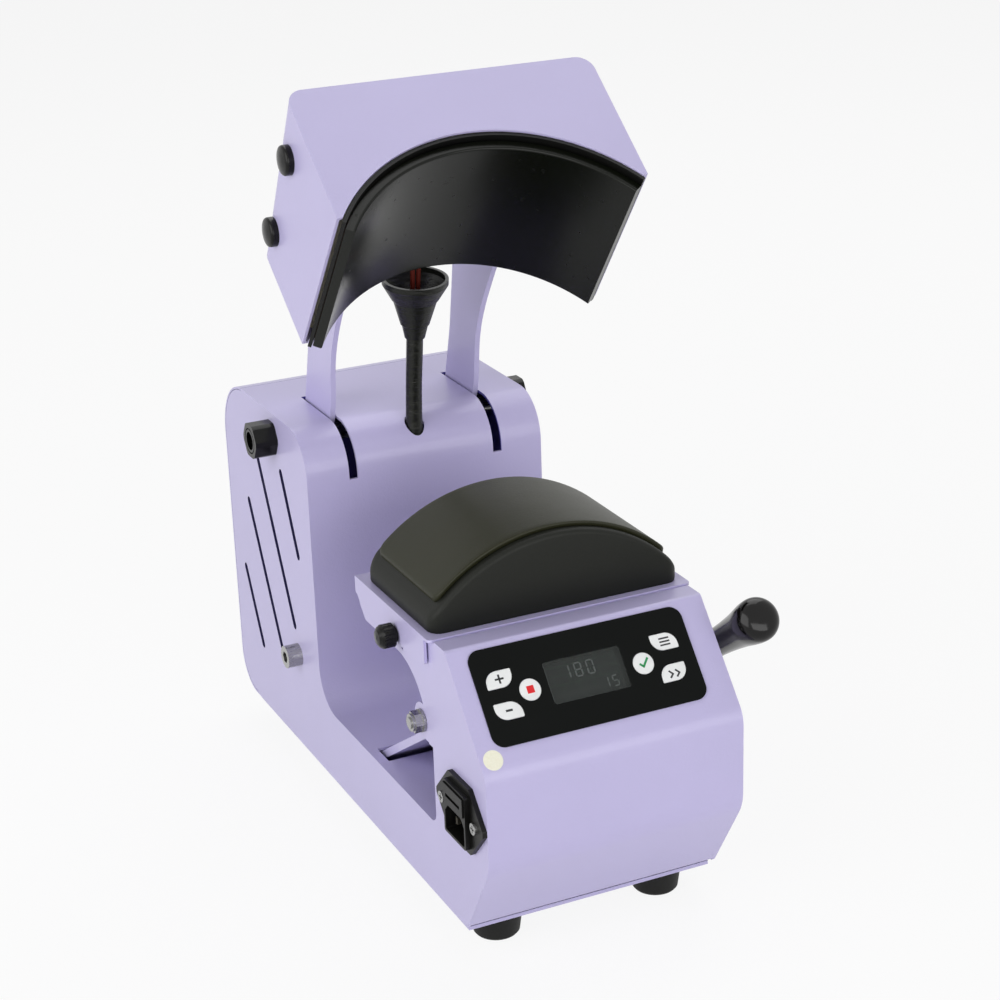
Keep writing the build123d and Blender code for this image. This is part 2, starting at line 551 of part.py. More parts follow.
bolt_nut = hex_x(BELL, 13.0, BODY_HALF, BODY_HALF + 6.5)
bolt_nut -= rod_x(BELL, BELL_BOLT_R, BODY_HALF - 1, BODY_HALF + 8)
keep("lower_pivot_bolt", bolt, bolt_nut)

# ---- handle --------------------------------------------------------------------------------
p1 = polar(SHAFT, CRANK_R, CRANK_ANGLE)
p2 = polar(BELL, CRANK_R, CRANK_ANGLE)
q2 = polar(BELL, TAIL_R, TAIL_ANGLE)
q3 = polar(HINGE, TAIL_R, TAIL_ANGLE)
CRANK_X = LINK_HALF + 1.5
CRANK_T = 3.0
SHAFT_END = BODY_HALF + 19.5
shaft = rod_x(SHAFT, HANDLE_SHAFT_R, -BODY_HALF - 0.3, SHAFT_END)
shaft += rod_x(SHAFT, 3.0, -BODY_HALF - 7.5, -BODY_HALF)
crank = bar([SHAFT, p1], (10, 6.5), CRANK_X, CRANK_X + CRANK_T)
crank += rod_x(p1, PIN_R, CRANK_X - 4.2, CRANK_X + 1)
shaft += both(crank)
keep("handle_shaft", shaft)
washer = rod_x(SHAFT, 6.0, -BODY_HALF - 1.5, -BODY_HALF - 0.3) - rod_x(SHAFT, 3.0, -BODY_HALF - 2, -BODY_HALF)
nut = hex_x(SHAFT, 10.0, -BODY_HALF - 5.5, -BODY_HALF - 1.5) + rod_x(SHAFT, 4.6, -BODY_HALF - 6.7, -BODY_HALF - 5)
nut -= rod_x(SHAFT, 3.0, -BODY_HALF - 8, -BODY_HALF)
keep("handle_lock_nut", washer, nut)
HUB_X = (BODY_HALF + 5.5, BODY_HALF + 23.5)
HUB_R = 11.0
GRIP_ANGLE = 144.5
GRIP_START = 24.0
GRIP_END = 84.0
hub_mid = (HUB_X[0] + HUB_X[1]) / 2
grip_at = Pos(hub_mid, SHAFT[0], SHAFT[1]) * Rot(GRIP_ANGLE - 90, 0, 0)
hub = rod_x(SHAFT, HUB_R, *HUB_X)
hub = chamfer(hub.edges(), 1.0)
hub += grip_at * Pos(0, 0, 19) * Cylinder(5.5, 28)
hub -= rod_x(SHAFT, HANDLE_SHAFT_R, HUB_X[0] - 1, SHAFT_END)
keep("handle_hub", hub)
grip_profile = Line((0, GRIP_START), (6.6, GRIP_START))
grip_profile += Line((6.6, GRIP_START), (7.4, GRIP_START + 1))
grip_profile += Spline((7.4, GRIP_START + 1), (8.1, GRIP_START + 18), (10.3, GRIP_END - 20), (11.5, GRIP_END - 8),
                       tangents=[(0.02, 1), (0.0, 1)])
grip_profile += Spline((11.5, GRIP_END - 8), (9.3, GRIP_END - 2.4), (0, GRIP_END), tangents=[(0, 1), (-1, 0)])
grip_profile += Line((0, GRIP_END), (0, GRIP_START))
grip = revolve(Plane.XZ * make_face(grip_profile), Axis.Z)
grip -= Pos(0, 0, 28.5) * Cylinder(5.5, 9.2)
keep("handle_grip", grip_at * grip)

# ---- drag link: inclined channel from the handle cranks down to the tower -------------------
LINK_T = 2.0
LINK_EYE_R = 6.5
LINK_FOOT = (-36.0, THROAT_FLOOR)
LINK_SLOPE = 32.9
run = (-math.cos(math.radians(LINK_SLOPE)), math.sin(math.radians(LINK_SLOPE)))


def along(s, h):
    """Point s up the channel from where it passes the throat floor, h over its underside."""
    return (LINK_FOOT[0] + s * run[0] + h * run[1], LINK_FOOT[1] + s * run[1] - h * run[0])


top_s = 97.7
low_s = -40.5
link = slab(Plane.YZ * make_face(Polyline(
    along(low_s, 0), along(top_s, 0), along(top_s, LINK_T), along(low_s, LINK_T), close=True)), -LINK_HALF, LINK_HALF)
link_side = slab(Plane.YZ * make_face(Polyline(
    along(low_s, 0), along(top_s, 0), along(top_s, LINK_T), along(66, LINK_T), along(60, 4.2), along(low_s, 4.2),
    close=True)), LINK_HALF - LINK_T, LINK_HALF)
ear = slab(side_face([
    along(top_s, 1), (p1[0] - LINK_EYE_R, p1[1]), (p1[0] + LINK_EYE_R, p1[1] - 1), along(74, 1)],
    [1, 0, 0, 1]), LINK_HALF - LINK_T, LINK_HALF)
ear += rod_x(p1, LINK_EYE_R, LINK_HALF - LINK_T, LINK_HALF)
BAR_LOW = 33.0
BAR_HIGH = 47.0
eye = 7.0
tail = slab(side_face([
    (-16, BAR_HIGH), (-2, BAR_LOW), (p2[0] + eye, BAR_LOW), (p2[0] + eye, p2[1]), (p2[0] - eye, p2[1]),
    (p2[0] - eye, BAR_HIGH)], [2, 2, 12, 0, 0, 6]), LINK_HALF - LINK_T, LINK_HALF)
tail += rod_x(p2, eye, LINK_HALF - LINK_T, LINK_HALF)
sides = link_side + ear + tail
sides -= rod_x(p1, PIN_R + RUN_FIT, LINK_HALF - 4, LINK_HALF + 1)
sides -= rod_x(p2, PIN_R + OPEN_FIT, LINK_HALF - 4, LINK_HALF + 1)
link += both(sides)
keep("drag_link", link)

# ---- bell crank on the lower bolt ------------------------------------------------------------
BELL_X = LINK_HALF - 6.0
BELL_T = 3.0
bell_plate = bar([BELL, p2], (11, 6.5), BELL_X, BELL_X + BELL_T) + bar([BELL, q2], (11, 6.5), BELL_X, BELL_X + BELL_T)
bell_plate += rod_x(p2, PIN_R, BELL_X + 1, LINK_HALF + 1.2) + rod_x(p2, 5.5, LINK_HALF + 0.4, LINK_HALF + 1.4)
bell_plate += rod_x(q2, PIN_R, BELL_X - 5.2, BELL_X + 1)
bell = both(bell_plate) + rod_x(BELL, 7.0, -inner + 0.2, inner - 0.2)
bell -= rod_x(BELL, BELL_BOLT_R + RUN_FIT, -inner - 1, inner + 1)
keep("bell_crank", bell)

# ---- lift links up to the tails of the arms ---------------------------------------------------
LIFT_X = BELL_X - 4.0
LIFT_T = 3.0
lift = bar([q2, q3], (6.5, 6.5), LIFT_X, LIFT_X + LIFT_T)
lift -= rod_x(q2, PIN_R + OPEN_FIT, LIFT_X - 1, LIFT_X + LIFT_T + 1)
lift -= rod_x(q3, PIN_R + RUN_FIT, LIFT_X - 1, LIFT_X + LIFT_T + 1)
keep("lift_links", both(lift))

# ---- head: arms, hub tube, tail pins ----------------------------------------------------------
q3_closed = polar(HINGE, TAIL_R, TAIL_ANGLE + HEAD_OPEN)
upper = FilletPolyline((122.5, 209.4), (104, 213.5), (92, 219.6), (61, 231.7), (22, FRAME_Z + 27.3),
                       (-28, FRAME_Z + 13.2), (-100, FRAME_Z + 13),
                       radius=[6, 12, 60, 14, 8])
front_end = FilletPolyline((-100, FRAME_Z + 13), (-100, FRAME_Z + 3), (-36, FRAME_Z + 3), (-36, 214), (-11.6, 212.9),
                           radius=[2, 3, 3])
under = Spline((-11.6, 212.9), (5.1, 211.8), (22.8, 209.6), (40.8, 204.0), (69, 189.6), (96.5, 189.2), (122.5, 195.4))
arm_face = Plane.YZ * make_face(upper + front_end + under + Line((122.5, 195.4), (122.5, 209.4)))
arm = slab(arm_face, ARM_X, ARM_X + ARM_T) + rod_x(q3_closed, 7.0, ARM_X, ARM_X + ARM_T)
arm -= rod_x(HINGE, 8.0, ARM_X - 1, ARM_X + ARM_T + 1)
arm -= rod_x(q3_closed, 3.0, ARM_X - 1, ARM_X + ARM_T + 1)
ARM_BOLTS = [(-55.0, FRAME_Z + 8), (-85.0, FRAME_Z + 8)]
for at in ARM_BOLTS:
    arm -= rod_x(at, 2.6, ARM_X - 1, ARM_X + ARM_T + 1)
keep("right_arm", head_pose(arm))
keep("left_arm", head_pose(other_side(arm)))
hub_tube = rod_x(HINGE, 8.0, -inner + 0.2, inner - 0.2) - rod_x(HINGE, HINGE_SHAFT_R + RUN_FIT, -inner - 1, inner + 1)
keep("arm_hub_tube", head_pose(hub_tube))
tail_pin = rod_x(q3_closed, PIN_R, ARM_X + ARM_T, LIFT_X + LIFT_T + 0.9) + rod_x(q3_closed, 3.0, ARM_X, ARM_X + 5)
tail_pin += rod_x(q3_closed, 4.8, ARM_X - 1.5, ARM_X)
keep("tail_pins", head_pose(both(tail_pin)))

# ---- head: cover box ---------------------------------------------------------------------------
top_run = (HEAD_TOP_FRONT[1] - HEAD_TOP_REAR[1]) / (HEAD_TOP_REAR[0] - HEAD_TOP_FRONT[0])


def head_box(inset, drop):
    """Solid box of the head cover, every wall moved in by inset and the foot down by drop."""
    half = HEAD_HALF - inset
    corner = HEAD_CORNER_R - inset
    ends = []
    for y in (HEAD_TOP_FRONT[0] - 5, HEAD_TOP_REAR[0] + 5):
        top = HEAD_TOP_FRONT[1] - (y - HEAD_TOP_FRONT[0]) * top_run - inset
        foot = HEAD_BOTTOM - drop
        end = Plane.XZ * make_face(FilletPolyline(
            (-half, foot), (half, foot), (half, top), (-half, top), radius=[0, 0, corner, corner], close=True))
        ends.append(Pos(0, y, 0) * end)
    lean = slab(side_face([
        (HEAD_FOOT_FRONT + inset, HEAD_BOTTOM - drop - 1), (HEAD_TOP_FRONT[0] + inset, HEAD_TOP_FRONT[1] + 9),
        (HEAD_TOP_REAR[0] - inset, HEAD_TOP_FRONT[1] + 9), (HEAD_TOP_REAR[0] - inset, HEAD_BOTTOM - drop - 1)],
        [0] * 4), -200, 200)
    return loft(ends, ruled=True) & lean


cover = head_box(0, 0) - head_box(HEAD_T, 5)
ARCH_R = STACK_R + 0.5
cover -= rod_y(0, CROWN_Z, ARCH_R, -200, 100)
cover -= both(block(SLOT_X - SLOT_W / 2, SLOT_X + SLOT_W / 2, -36, -20, 195, FRAME_Z + 36))
WIRE_HOLE = (CABLE_X, FRAME_Z + 1.5)
cover -= rod_y(WIRE_HOLE[0], WIRE_HOLE[1], 7.5, -40, 0)
CAP_SPOTS = [(-102.0, FRAME_Z + 9), (-50.0, FRAME_Z + 6.5)]
for at in CAP_SPOTS:
    cover -= both(rod_x(at, 2.1, HEAD_HALF - 4, HEAD_HALF + 2))
keep("head_cover", head_pose(cover))

# frame plate across the head with turned-up sides and the tabs the arms are bolted to
FRAME_T = 3.0
TAB_T = 2.0
tab_x = HEAD_HALF - HEAD_T - 0.7
frame = block(-tab_x + 1, tab_x - 1, -112, -40, FRAME_Z, FRAME_Z + FRAME_T)
side_tab = slab(side_face([(-112, FRAME_Z), (-40, FRAME_Z), (-40, FRAME_Z + 9.5), (-112, FRAME_Z + 14)], [2, 2, 3, 3]),
                tab_x - TAB_T, tab_x)
frame += both(side_tab)
arm_tab = block(ARM_X - 3, ARM_X, -98, -42, FRAME_Z + 1, FRAME_Z + 13)
frame += both(arm_tab)
STUDS = [(27.5, -95.0), (27.5, -58.0)]
for at in CAP_SPOTS:
    frame -= both(rod_x(at, 2.1, tab_x - 4, HEAD_HALF + 1))
for at in ARM_BOLTS:
    frame -= both(rod_x(at, 2.6, ARM_X - 4, ARM_X + 1))
for x, y in STUDS:
    frame -= both(rod_z(x, y, 3.2, FRAME_Z - 1, FRAME_Z + 5))
keep("head_frame", head_pose(frame))
arm_bolts = None
for at in ARM_BOLTS:
    one = rod_x(at, 2.5, ARM_X - 7.5, ARM_X + ARM_T + 1) + rod_x(at, 4.5, ARM_X + ARM_T, ARM_X + ARM_T + 4)
    one -= hex_x(at, 4.0, ARM_X + ARM_T + 1.5, ARM_X + ARM_T + 5)
    one += hex_x(at, 8.0, ARM_X - 7.2, ARM_X - 3)
    arm_bolts = both(one) if arm_bolts is None else arm_bolts + both(one)
keep("arm_bolts", head_pose(arm_bolts))
head_caps = None
for at in CAP_SPOTS:
    dome = revolve(Plane.XZ * make_face(
        Line((0, 0), (7.75, 0)) + Line((7.75, 0), (7.75, 2.6)) + Spline(
            (7.75, 2.6), (5.6, 4.5), (0, 5.2), tangents=[(0, 1), (-1, 0)]) + Line((0, 5.2), (0, 0))), Axis.Z)
    one = Pos(HEAD_HALF, *at) * Rot(0, 90, 0) * dome
    one += rod_x(at, 2.0, tab_x - 5.6, HEAD_HALF + 1) + rod_x(at, 2.7, tab_x, HEAD_HALF - HEAD_T)
    head_caps = both(one) if head_caps is None else head_caps + both(one)
keep("head_caps", head_pose(head_caps))


# ---- head: curved stack ---------------------------------------------------------------------
def arched(r0, r1, y0, y1, half_angle):
    """Arched plate between two radii about the crown line."""
    spread = math.radians(half_angle)
    far = 200.0
    wedge = Plane.XZ * make_face(Polyline(
        (0, 0), (far * math.sin(spread), far * math.cos(spread)), (0, far), (-far * math.sin(spread), far * math.cos(
            spread)), close=True))
    sector = Pos(0, y0, CROWN_Z) * extrude(wedge, amount=y1 - y0, dir=(0, 1, 0))
    return (rod_y(0, CROWN_Z, r1, y0, y1) - rod_y(0, CROWN_Z, r0, y0 - 1, y1 + 1)) & sector


mat_r = PLATEN_R + PLATEN_T
backing_r = mat_r + MAT_T
wool_r = STACK_R
platen = arched(PLATEN_R, mat_r, PLATEN_FRONT, PLATEN_REAR, PLATEN_HALF_ANGLE)
lower_edges = [e for e in platen.edges() if e.geom_type == GeomType.CIRCLE and abs(e.radius - PLATEN_R) < 0.01]
platen = fillet(lower_edges, 1.2)
keep("heat_platen", head_pose(platen))
mat = arched(mat_r, backing_r, PLATEN_FRONT + 3, PLATEN_REAR - 3, PLATEN_HALF_ANGLE - 1.6)
keep("heater_mat", head_pose(mat))
backing = arched(backing_r, wool_r, -126, -28.2, PLATEN_HALF_ANGLE - 0.1)
wool = arched(wool_r, wool_r + INSULATION_T, PLATEN_FRONT, -32, 50)
studs = None
for x, y in STUDS:
    wool -= both(rod_z(x, y, 3.3, FRAME_Z - 34, FRAME_Z + 16))
    stud = rod_z(x, y, 3.0, FRAME_Z - 24, FRAME_Z + 9.5) - rod_y(0, CROWN_Z, wool_r, -200, 100)
    stud += hex_z(x, y, 10, FRAME_Z + FRAME_T, FRAME_Z + FRAME_T + 5)
    studs = both(stud) if studs is None else studs + both(stud)
keep("backing_plate", head_pose(backing))
keep("insulation_blanket", head_pose(wool))
keep("platen_studs", head_pose(studs))

# ceramic terminal block on the frame, and the heater wires out through the rear wall
terminal = block(-14, 10, -66, -54, FRAME_Z + FRAME_T, FRAME_Z + FRAME_T + 9)
for x in (-8, 4):
    terminal -= rod_y(x, FRAME_Z + FRAME_T + 4.5, 1.8, -60, -50)
    terminal -= rod_z(x, -58, 1.6, FRAME_Z + FRAME_T + 5, FRAME_Z + FRAME_T + 10)
keep("terminal_block", head_pose(terminal))


def tube(points, radii, r):
    path = FilletPolyline(*points, radius=radii)
    start = Plane(origin=path @ 0, z_dir=path % 0)
    solid = sweep(start * Circle(r), path=path)
    print("   route length", round(path.length, 1), "radii", [round(v, 1) for v in radii],
          "volume ratio", round(solid.volume / (math.pi * r * r * path.length), 4))
    return solid


def bend_radii(points):
    """Largest even radius for each corner: 0.45 of the shorter run over the tangent of half the turn."""
    found = []
    for a, b, c in zip(points, points[1:], points[2:]):
        u = Vector(*b) - Vector(*a)
        w = Vector(*c) - Vector(*b)
        turn = math.radians(u.get_angle(w))
        found.append(0.45 * min(u.length, w.length) / math.tan(turn / 2))
    return found


BOOT_TOP = (41.6, 296.0)
BOOT_END = (46.0, 262.0)
boot_dir = (BOOT_END[0] - BOOT_TOP[0], BOOT_END[1] - BOOT_TOP[1])
boot_len = math.hypot(*boot_dir)
boot_axis = (boot_dir[0] / boot_len, boot_dir[1] / boot_len)
boot_turn = math.degrees(math.atan2(boot_axis[1], boot_axis[0]))
boot_place = Pos(CABLE_X, BOOT_TOP[0], BOOT_TOP[1]) * Rot(boot_turn - 90, 0, 0)
boot_profile = Polyline(
    (4.9, boot_len), (5.6, boot_len), (7.2, 27.0), (8.0, 26.2), (12.0, 12.6), (13.0, 11.6), (17.2, 4.4), (18.0, 3.0),
    (18.0, 0), (16.2, 0), (16.2, 3.0), (10.8, 10.5), (4.9, 12.5), close=True)
boot = revolve(Plane.XZ * make_face(boot_profile), Axis.Z)
keep("cable_boot", boot_place * boot)

# two wires from the terminal block into the boot
start_closed = (-1.2, 209.2)
wires = None
for side in (-1, 1):
    x_in = CABLE_X + side * 1.6
    route = [(CABLE_X + side * 6.0 + 0.2, -59, FRAME_Z + 7.5), (CABLE_X + side * 5.2, -46, FRAME_Z + 7.3),
             (CABLE_X + side * 2.4, -31, FRAME_Z + 2.5), (x_in, -13, 215.9), (x_in, *start_closed)]
    wire = tube(route, bend_radii(route), 1.3)
    wires = wire if wires is None else wires + wire
keep("heater_wires", head_pose(wires))

# heater cable: the free stretch from the boot into the tower, and the stretch clipped inside
CABLE_JOIN_Z = 180.0
cable_start = (BOOT_TOP[0] + 12.6 * boot_axis[0], BOOT_TOP[1] + 12.6 * boot_axis[1])
CLIP_Y = TOWER_FRONT + SHEET_T + CABLE_R + 1.2
route = [(CABLE_X, *cable_start), (CABLE_X, BOOT_END[0] + 0.45, BOOT_END[1] - 3.5), (CABLE_X, CABLE_HOLE_Y - 1.6, 232),
         (CABLE_X, CABLE_HOLE_Y + 0.4, 207), (CABLE_X, CLIP_Y, 190), (CABLE_X, CLIP_Y, CABLE_JOIN_Z)]
keep("heater_cable", tube(route, bend_radii(route), CABLE_R))
route = [(CABLE_X, CLIP_Y, CABLE_JOIN_Z), (CABLE_X, CLIP_Y, 138), (CABLE_X, 53, 94),
         (CABLE_X, 45, 49), (CABLE_X, 24, 22.4), (CABLE_X, -20, 21.6), (CABLE_X, -68, 21.6), (CABLE_X, -100, 23),
         (CABLE_X, -128, 38), (CABLE_X, -143, 66), (CABLE_X, -146.5, 96), (CABLE_X, -147.5, 120)]
inner_cable = tube(route, bend_radii(route), CABLE_R)
keep("inner_cable", inner_cable - board)
clip = rod_z(CABLE_X, CLIP_Y, CABLE_R + 1.2, CLIP_Z - 4, CLIP_Z + 4)
clip += block(CABLE_X, CABLE_X + 16, TOWER_FRONT + SHEET_T, TOWER_FRONT + SHEET_T + 1.5, CLIP_Z - 4, CLIP_Z + 4)
clip -= rod_z(CABLE_X, CLIP_Y, CABLE_R + 0.02, CLIP_Z - 5, CLIP_Z + 5)
clip -= rod_y(CABLE_X + 11, CLIP_Z, 1.6, TOWER_FRONT, TOWER_FRONT + 5)
keep("cable_clip", clip)
clip_screw = rod_y(CABLE_X + 11, CLIP_Z, 1.5, TOWER_FRONT - 1.0, TOWER_FRONT + SHEET_T + 3)
clip_screw += rod_y(CABLE_X + 11, CLIP_Z, 2.9, TOWER_FRONT + SHEET_T + 1.5, TOWER_FRONT + SHEET_T + 3.4)
keep("body_screws", screws, tab_screws, clip_screw)

low = [min(getattr(b.min, a) for b in reach) for a in "XYZ"]
high = [max(getattr(b.max, a) for b in reach) for a in "XYZ"]
print("whole part", [round(v, 2) for v in low], [round(v, 2) for v in high])
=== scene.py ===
# %% [markdown]
# # A cap heat press, dressed for its picture
# The press is already built as CAD: bent sheet metal, a linkage, a curved platen and a crowned pad.
# This file loads that model as a fixed frame, gives every piece its finish and models what CAD
# leaves plain: the moulded pad, the bending cable, the display digits and the marks on the keys.

# %% Load the frame
import bpy, bmesh, math
from mathutils import Matrix, Vector


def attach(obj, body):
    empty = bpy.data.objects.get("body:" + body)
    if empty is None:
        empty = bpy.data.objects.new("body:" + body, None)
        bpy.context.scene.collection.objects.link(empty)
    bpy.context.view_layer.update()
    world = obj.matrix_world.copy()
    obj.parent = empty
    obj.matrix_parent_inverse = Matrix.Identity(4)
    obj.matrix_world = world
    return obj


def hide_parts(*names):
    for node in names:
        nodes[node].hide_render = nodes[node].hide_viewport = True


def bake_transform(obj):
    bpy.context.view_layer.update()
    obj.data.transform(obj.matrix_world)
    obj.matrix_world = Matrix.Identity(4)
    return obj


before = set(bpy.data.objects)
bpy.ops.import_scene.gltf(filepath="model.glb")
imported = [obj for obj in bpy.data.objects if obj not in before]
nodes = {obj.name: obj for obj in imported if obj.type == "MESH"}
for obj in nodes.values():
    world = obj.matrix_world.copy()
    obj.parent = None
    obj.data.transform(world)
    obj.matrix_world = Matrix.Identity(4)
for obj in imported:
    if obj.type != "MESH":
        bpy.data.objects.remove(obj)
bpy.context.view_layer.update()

# %% [markdown]
# ## One frame of numbers
# The press was measured in millimetres from a middle plane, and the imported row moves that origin
# to the middle of its footprint. `spot` turns a measured millimetre point into a scene point, so
# every size below reads like a drawing.

# %% Millimetres to the scene
MM = 0.001
ROW_SHIFT = (-3.73, -2.10)


def spot(x, y, z):
    return Vector(((x + ROW_SHIFT[0]) * MM, (y + ROW_SHIFT[1]) * MM, z * MM))


FACE_TOP = (-135.5, 163.0)  # y and z of the upper edge of the sloped display face
FACE_ANGLE = math.radians(49.5)
down_face = Vector((0, -math.cos(FACE_ANGLE), -math.sin(FACE_ANGLE)))
out_of_face = Vector((0, -math.sin(FACE_ANGLE), math.cos(FACE_ANGLE)))


def on_face(u, v, lift):
    """Point of the sloped display face: u to the right, v down the slope, lift off the sheet."""
    return spot(u, *FACE_TOP) + down_face * (v * MM) + out_of_face * (lift * MM)


def new_object(name, data):
    thing = bpy.data.objects.new(name, data)
    bpy.context.scene.collection.objects.link(thing)
    return thing


print("display face middle", on_face(0, 27, 0))

# %% [markdown]
# ## Shader maths that reads like maths
# A material is a graph of nodes. Wiring it by hand hides the idea, so a small class wraps one
# output socket and overloads the operators: `1 - grain * 0.2` adds the Math nodes by itself.
# Every other node comes from one method that takes its type, its settings and its sockets. The
# same method serves the world's graph further down.

# %% The socket class and the graph
MIX_FACTOR, MIX_A, MIX_B, MIX_RESULT = 0, 6, 7, 2  # where a Mix node keeps its colour sockets


class Wire:
    """One output socket; arithmetic on it adds Math nodes."""

    def __init__(self, graph, socket):
        self.graph, self.socket = graph, socket

    def math(self, operation, other, swap=False):
        pair = {0: other, 1: self} if swap else {0: self, 1: other}
        return self.graph.add("ShaderNodeMath", {"operation": operation}, pair)

    def __add__(self, other): return self.math("ADD", other)
    def __radd__(self, other): return self.math("ADD", other, True)
    def __sub__(self, other): return self.math("SUBTRACT", other)
    def __rsub__(self, other): return self.math("SUBTRACT", other, True)
    def __mul__(self, other): return self.math("MULTIPLY", other)
    def __rmul__(self, other): return self.math("MULTIPLY", other, True)
    def __gt__(self, other): return self.math("GREATER_THAN", other)


class Graph:
    """A shader graph that grows by one method, for a material or for the world."""

    def __init__(self, tree):
        self.tree = tree
        self.tree.nodes.clear()

    def add(self, kind, settings=None, sockets=None, out=0):
        node = self.tree.nodes.new(kind)
        for key, value in (settings or {}).items():
            setattr(node, key, value)
        for key, value in (sockets or {}).items():
            if isinstance(value, Wire):
                self.tree.links.new(value.socket, node.inputs[key])
            elif value is not None:
                node.inputs[key].default_value = value
        return Wire(self, node.outputs[out])

    def add_output(self, shader, kind="ShaderNodeOutputMaterial"):
        node = self.tree.nodes.new(kind)
        self.tree.links.new(shader.socket, node.inputs["Surface"])


# %% [markdown]
# A finish is such a graph with the few nodes that nearly every material here needs: noise, noise
# stretched along one direction, a blend of two colours, a bump and the shader that ends it all.
# Colours are written as they look on a display and turned into the linear light a shader wants.


# %% The finish builder
class Finish(Graph):
    """A procedural material under construction."""

    def __init__(self, name):
        self.material = bpy.data.materials.new(name)
        self.material.use_nodes = True
        super().__init__(self.material.node_tree)
        self.place = self.add("ShaderNodeTexCoord", out="Object")

    def noise(self, scale, detail=2.0, rough=0.5, at=None):
        sockets = {"Vector": at or self.place, "Scale": scale, "Detail": detail, "Roughness": rough}
        return self.add("ShaderNodeTexNoise", None, sockets, "Fac")

    def stretched(self, x, y, z):
        return self.add("ShaderNodeMapping", None, {"Vector": self.place, "Scale": (x, y, z)})

    def axis(self, vector, letter):
        return self.add("ShaderNodeSeparateXYZ", None, {0: vector}, letter)

    def blend(self, factor, a, b):
        sockets = {MIX_FACTOR: factor, MIX_A: a, MIX_B: b}
        return self.add("ShaderNodeMix", {"data_type": "RGBA"}, sockets, MIX_RESULT)

    def bump(self, height, strength, distance):
        sockets = {"Height": height, "Strength": strength, "Distance": distance}
        return self.add("ShaderNodeBump", None, sockets)

    def surface(self, **sockets):
        named = {key.replace("_", " "): value for key, value in sockets.items()}
        self.add_output(self.add("ShaderNodeBsdfPrincipled", None, named))
        return self.material


def colour(r, g, b):
    """A display colour, 0 to 255, as the linear colour that a shader wants."""
    def linear(c):
        c /= 255
        return c / 12.92 if c <= 0.04045 else ((c + 0.055) / 1.055) ** 2.4
    return (linear(r), linear(g), linear(b), 1.0)


def shade(tint, factor, lift=0.0):
    """The same colour darker or paler; lift keeps a near black from staying black."""
    return tuple(min(1.0, c * factor + lift) for c in tint[:3]) + (1.0,)


def report(title, *materials):
    print(title, [material.name for material in materials])


# %% [markdown]
# ## Powder coat
# The sheet metal wears a lavender powder coat: tinted powder melts into a thick film with a fine
# orange-peel skin, so highlights break into tiny grains. One large slow noise shifts the tone a
# little, as real film thickness does, and two small noises make the peel as a bump.

# %% Lavender powder coat
LAVENDER = colour(197, 190, 229)


def coat_tone(f, tint):
    """Slow drift of the film's tone over a large sheet."""
    return f.blend(f.noise(14, 3), shade(tint, 0.92), tint)


def coated(f, tone):
    """The melted film itself: orange peel in two sizes under a thin glossy top."""
    peel_big = f.noise(650, 2)
    peel_small = f.noise(1500, 1)
    skin = f.bump(peel_big * 0.65 + peel_small * 0.35, 0.42, 0.0003)
    return f.surface(Base_Color=tone, Roughness=0.34 + peel_small * 0.18, Normal=skin,
                     Specular_IOR_Level=0.36, Coat_Weight=0.32, Coat_Roughness=0.18)


def powder_coat(name, tint):
    f = Finish(name)
    return coated(f, coat_tone(f, tint))


lavender = powder_coat("lavender_powder_coat", LAVENDER)
report("powder coat", lavender)

# %% [markdown]
# The inside of the folded shell gets painted shade: the sheets of the tower are dark inside, and
# that is what shows through the slanted vents and the arm slots. A face looks inward when its
# normal
# points back at the middle of the tower: one dot product gives the mask. A second mask puts a
# deeper violet of painted shade on the cut walls of the vents.

# %% The same coat with painted shade on its inner side
VENT_LOW, VENT_HIGH = spot(0, 62, 55), spot(0, 164, 191)  # the vents lie between these corners
# painted shade for the cut walls of the vents
SLOT_SHADE = colour(40, 36, 80)
# painted shade for the inner faces of the shell
PAINTED_INNER_SHADE = colour(84, 78, 160)
INNER_FROM_Y = spot(0, -60, 0).y  # the front box, before this, keeps the plain coat on both sides


def slot_wall_shade_mask(f, normal):
    """One on the cut walls of the vents, which take painted shade: they lie among the vents and
    don't look sideways.
    """
    across = f.axis(normal, "X")
    y, z = f.axis(f.place, "Y"), f.axis(f.place, "Z")
    cut = 1.0 - (across * across > 0.25)
    in_y = (y > VENT_LOW.y) * (1.0 - (y > VENT_HIGH.y))
    in_z = (z > VENT_LOW.z) * (1.0 - (z > VENT_HIGH.z))
    return cut * in_y * in_z


def shell_coat(name, middle):
    """The powder coat with painted shade where a face looks back at the middle of the shell."""
    f = Finish(name)
    normal = f.add("ShaderNodeTexCoord", out="Normal")
    outward = f.add("ShaderNodeVectorMath", {"operation": "SUBTRACT"},
                    {0: f.place, 1: tuple(middle)})
    facing = f.add("ShaderNodeVectorMath", {"operation": "DOT_PRODUCT"},
                   {0: outward, 1: normal}, "Value")
    # painted shade on faces that look back at the middle, behind the front box
    painted_shade_inside = (0.0 - facing > 0.0) * (f.axis(f.place, "Y") > INNER_FROM_Y)
    tone = f.blend(painted_shade_inside, coat_tone(f, LAVENDER), PAINTED_INNER_SHADE)
    return coated(f, f.blend(slot_wall_shade_mask(f, normal), tone, SLOT_SHADE))


shell = shell_coat("lavender_coat_painted_inner_shade", spot(0, 111, 30))
cover_shell = shell_coat("lavender_cover_coat_painted_inner_shade", spot(0, 111, 117))
report("shell coats", shell, cover_shell)

# %% [markdown]
# ## Metals
# Bright screws and pivot parts are zinc-plated steel. Turned and drawn parts carry very fine lines,
# so a noise that is tight along two directions and loose along X drives both roughness and a
# slight bump. Rolled sheet has no such lines, so there the noise is the same in all directions.


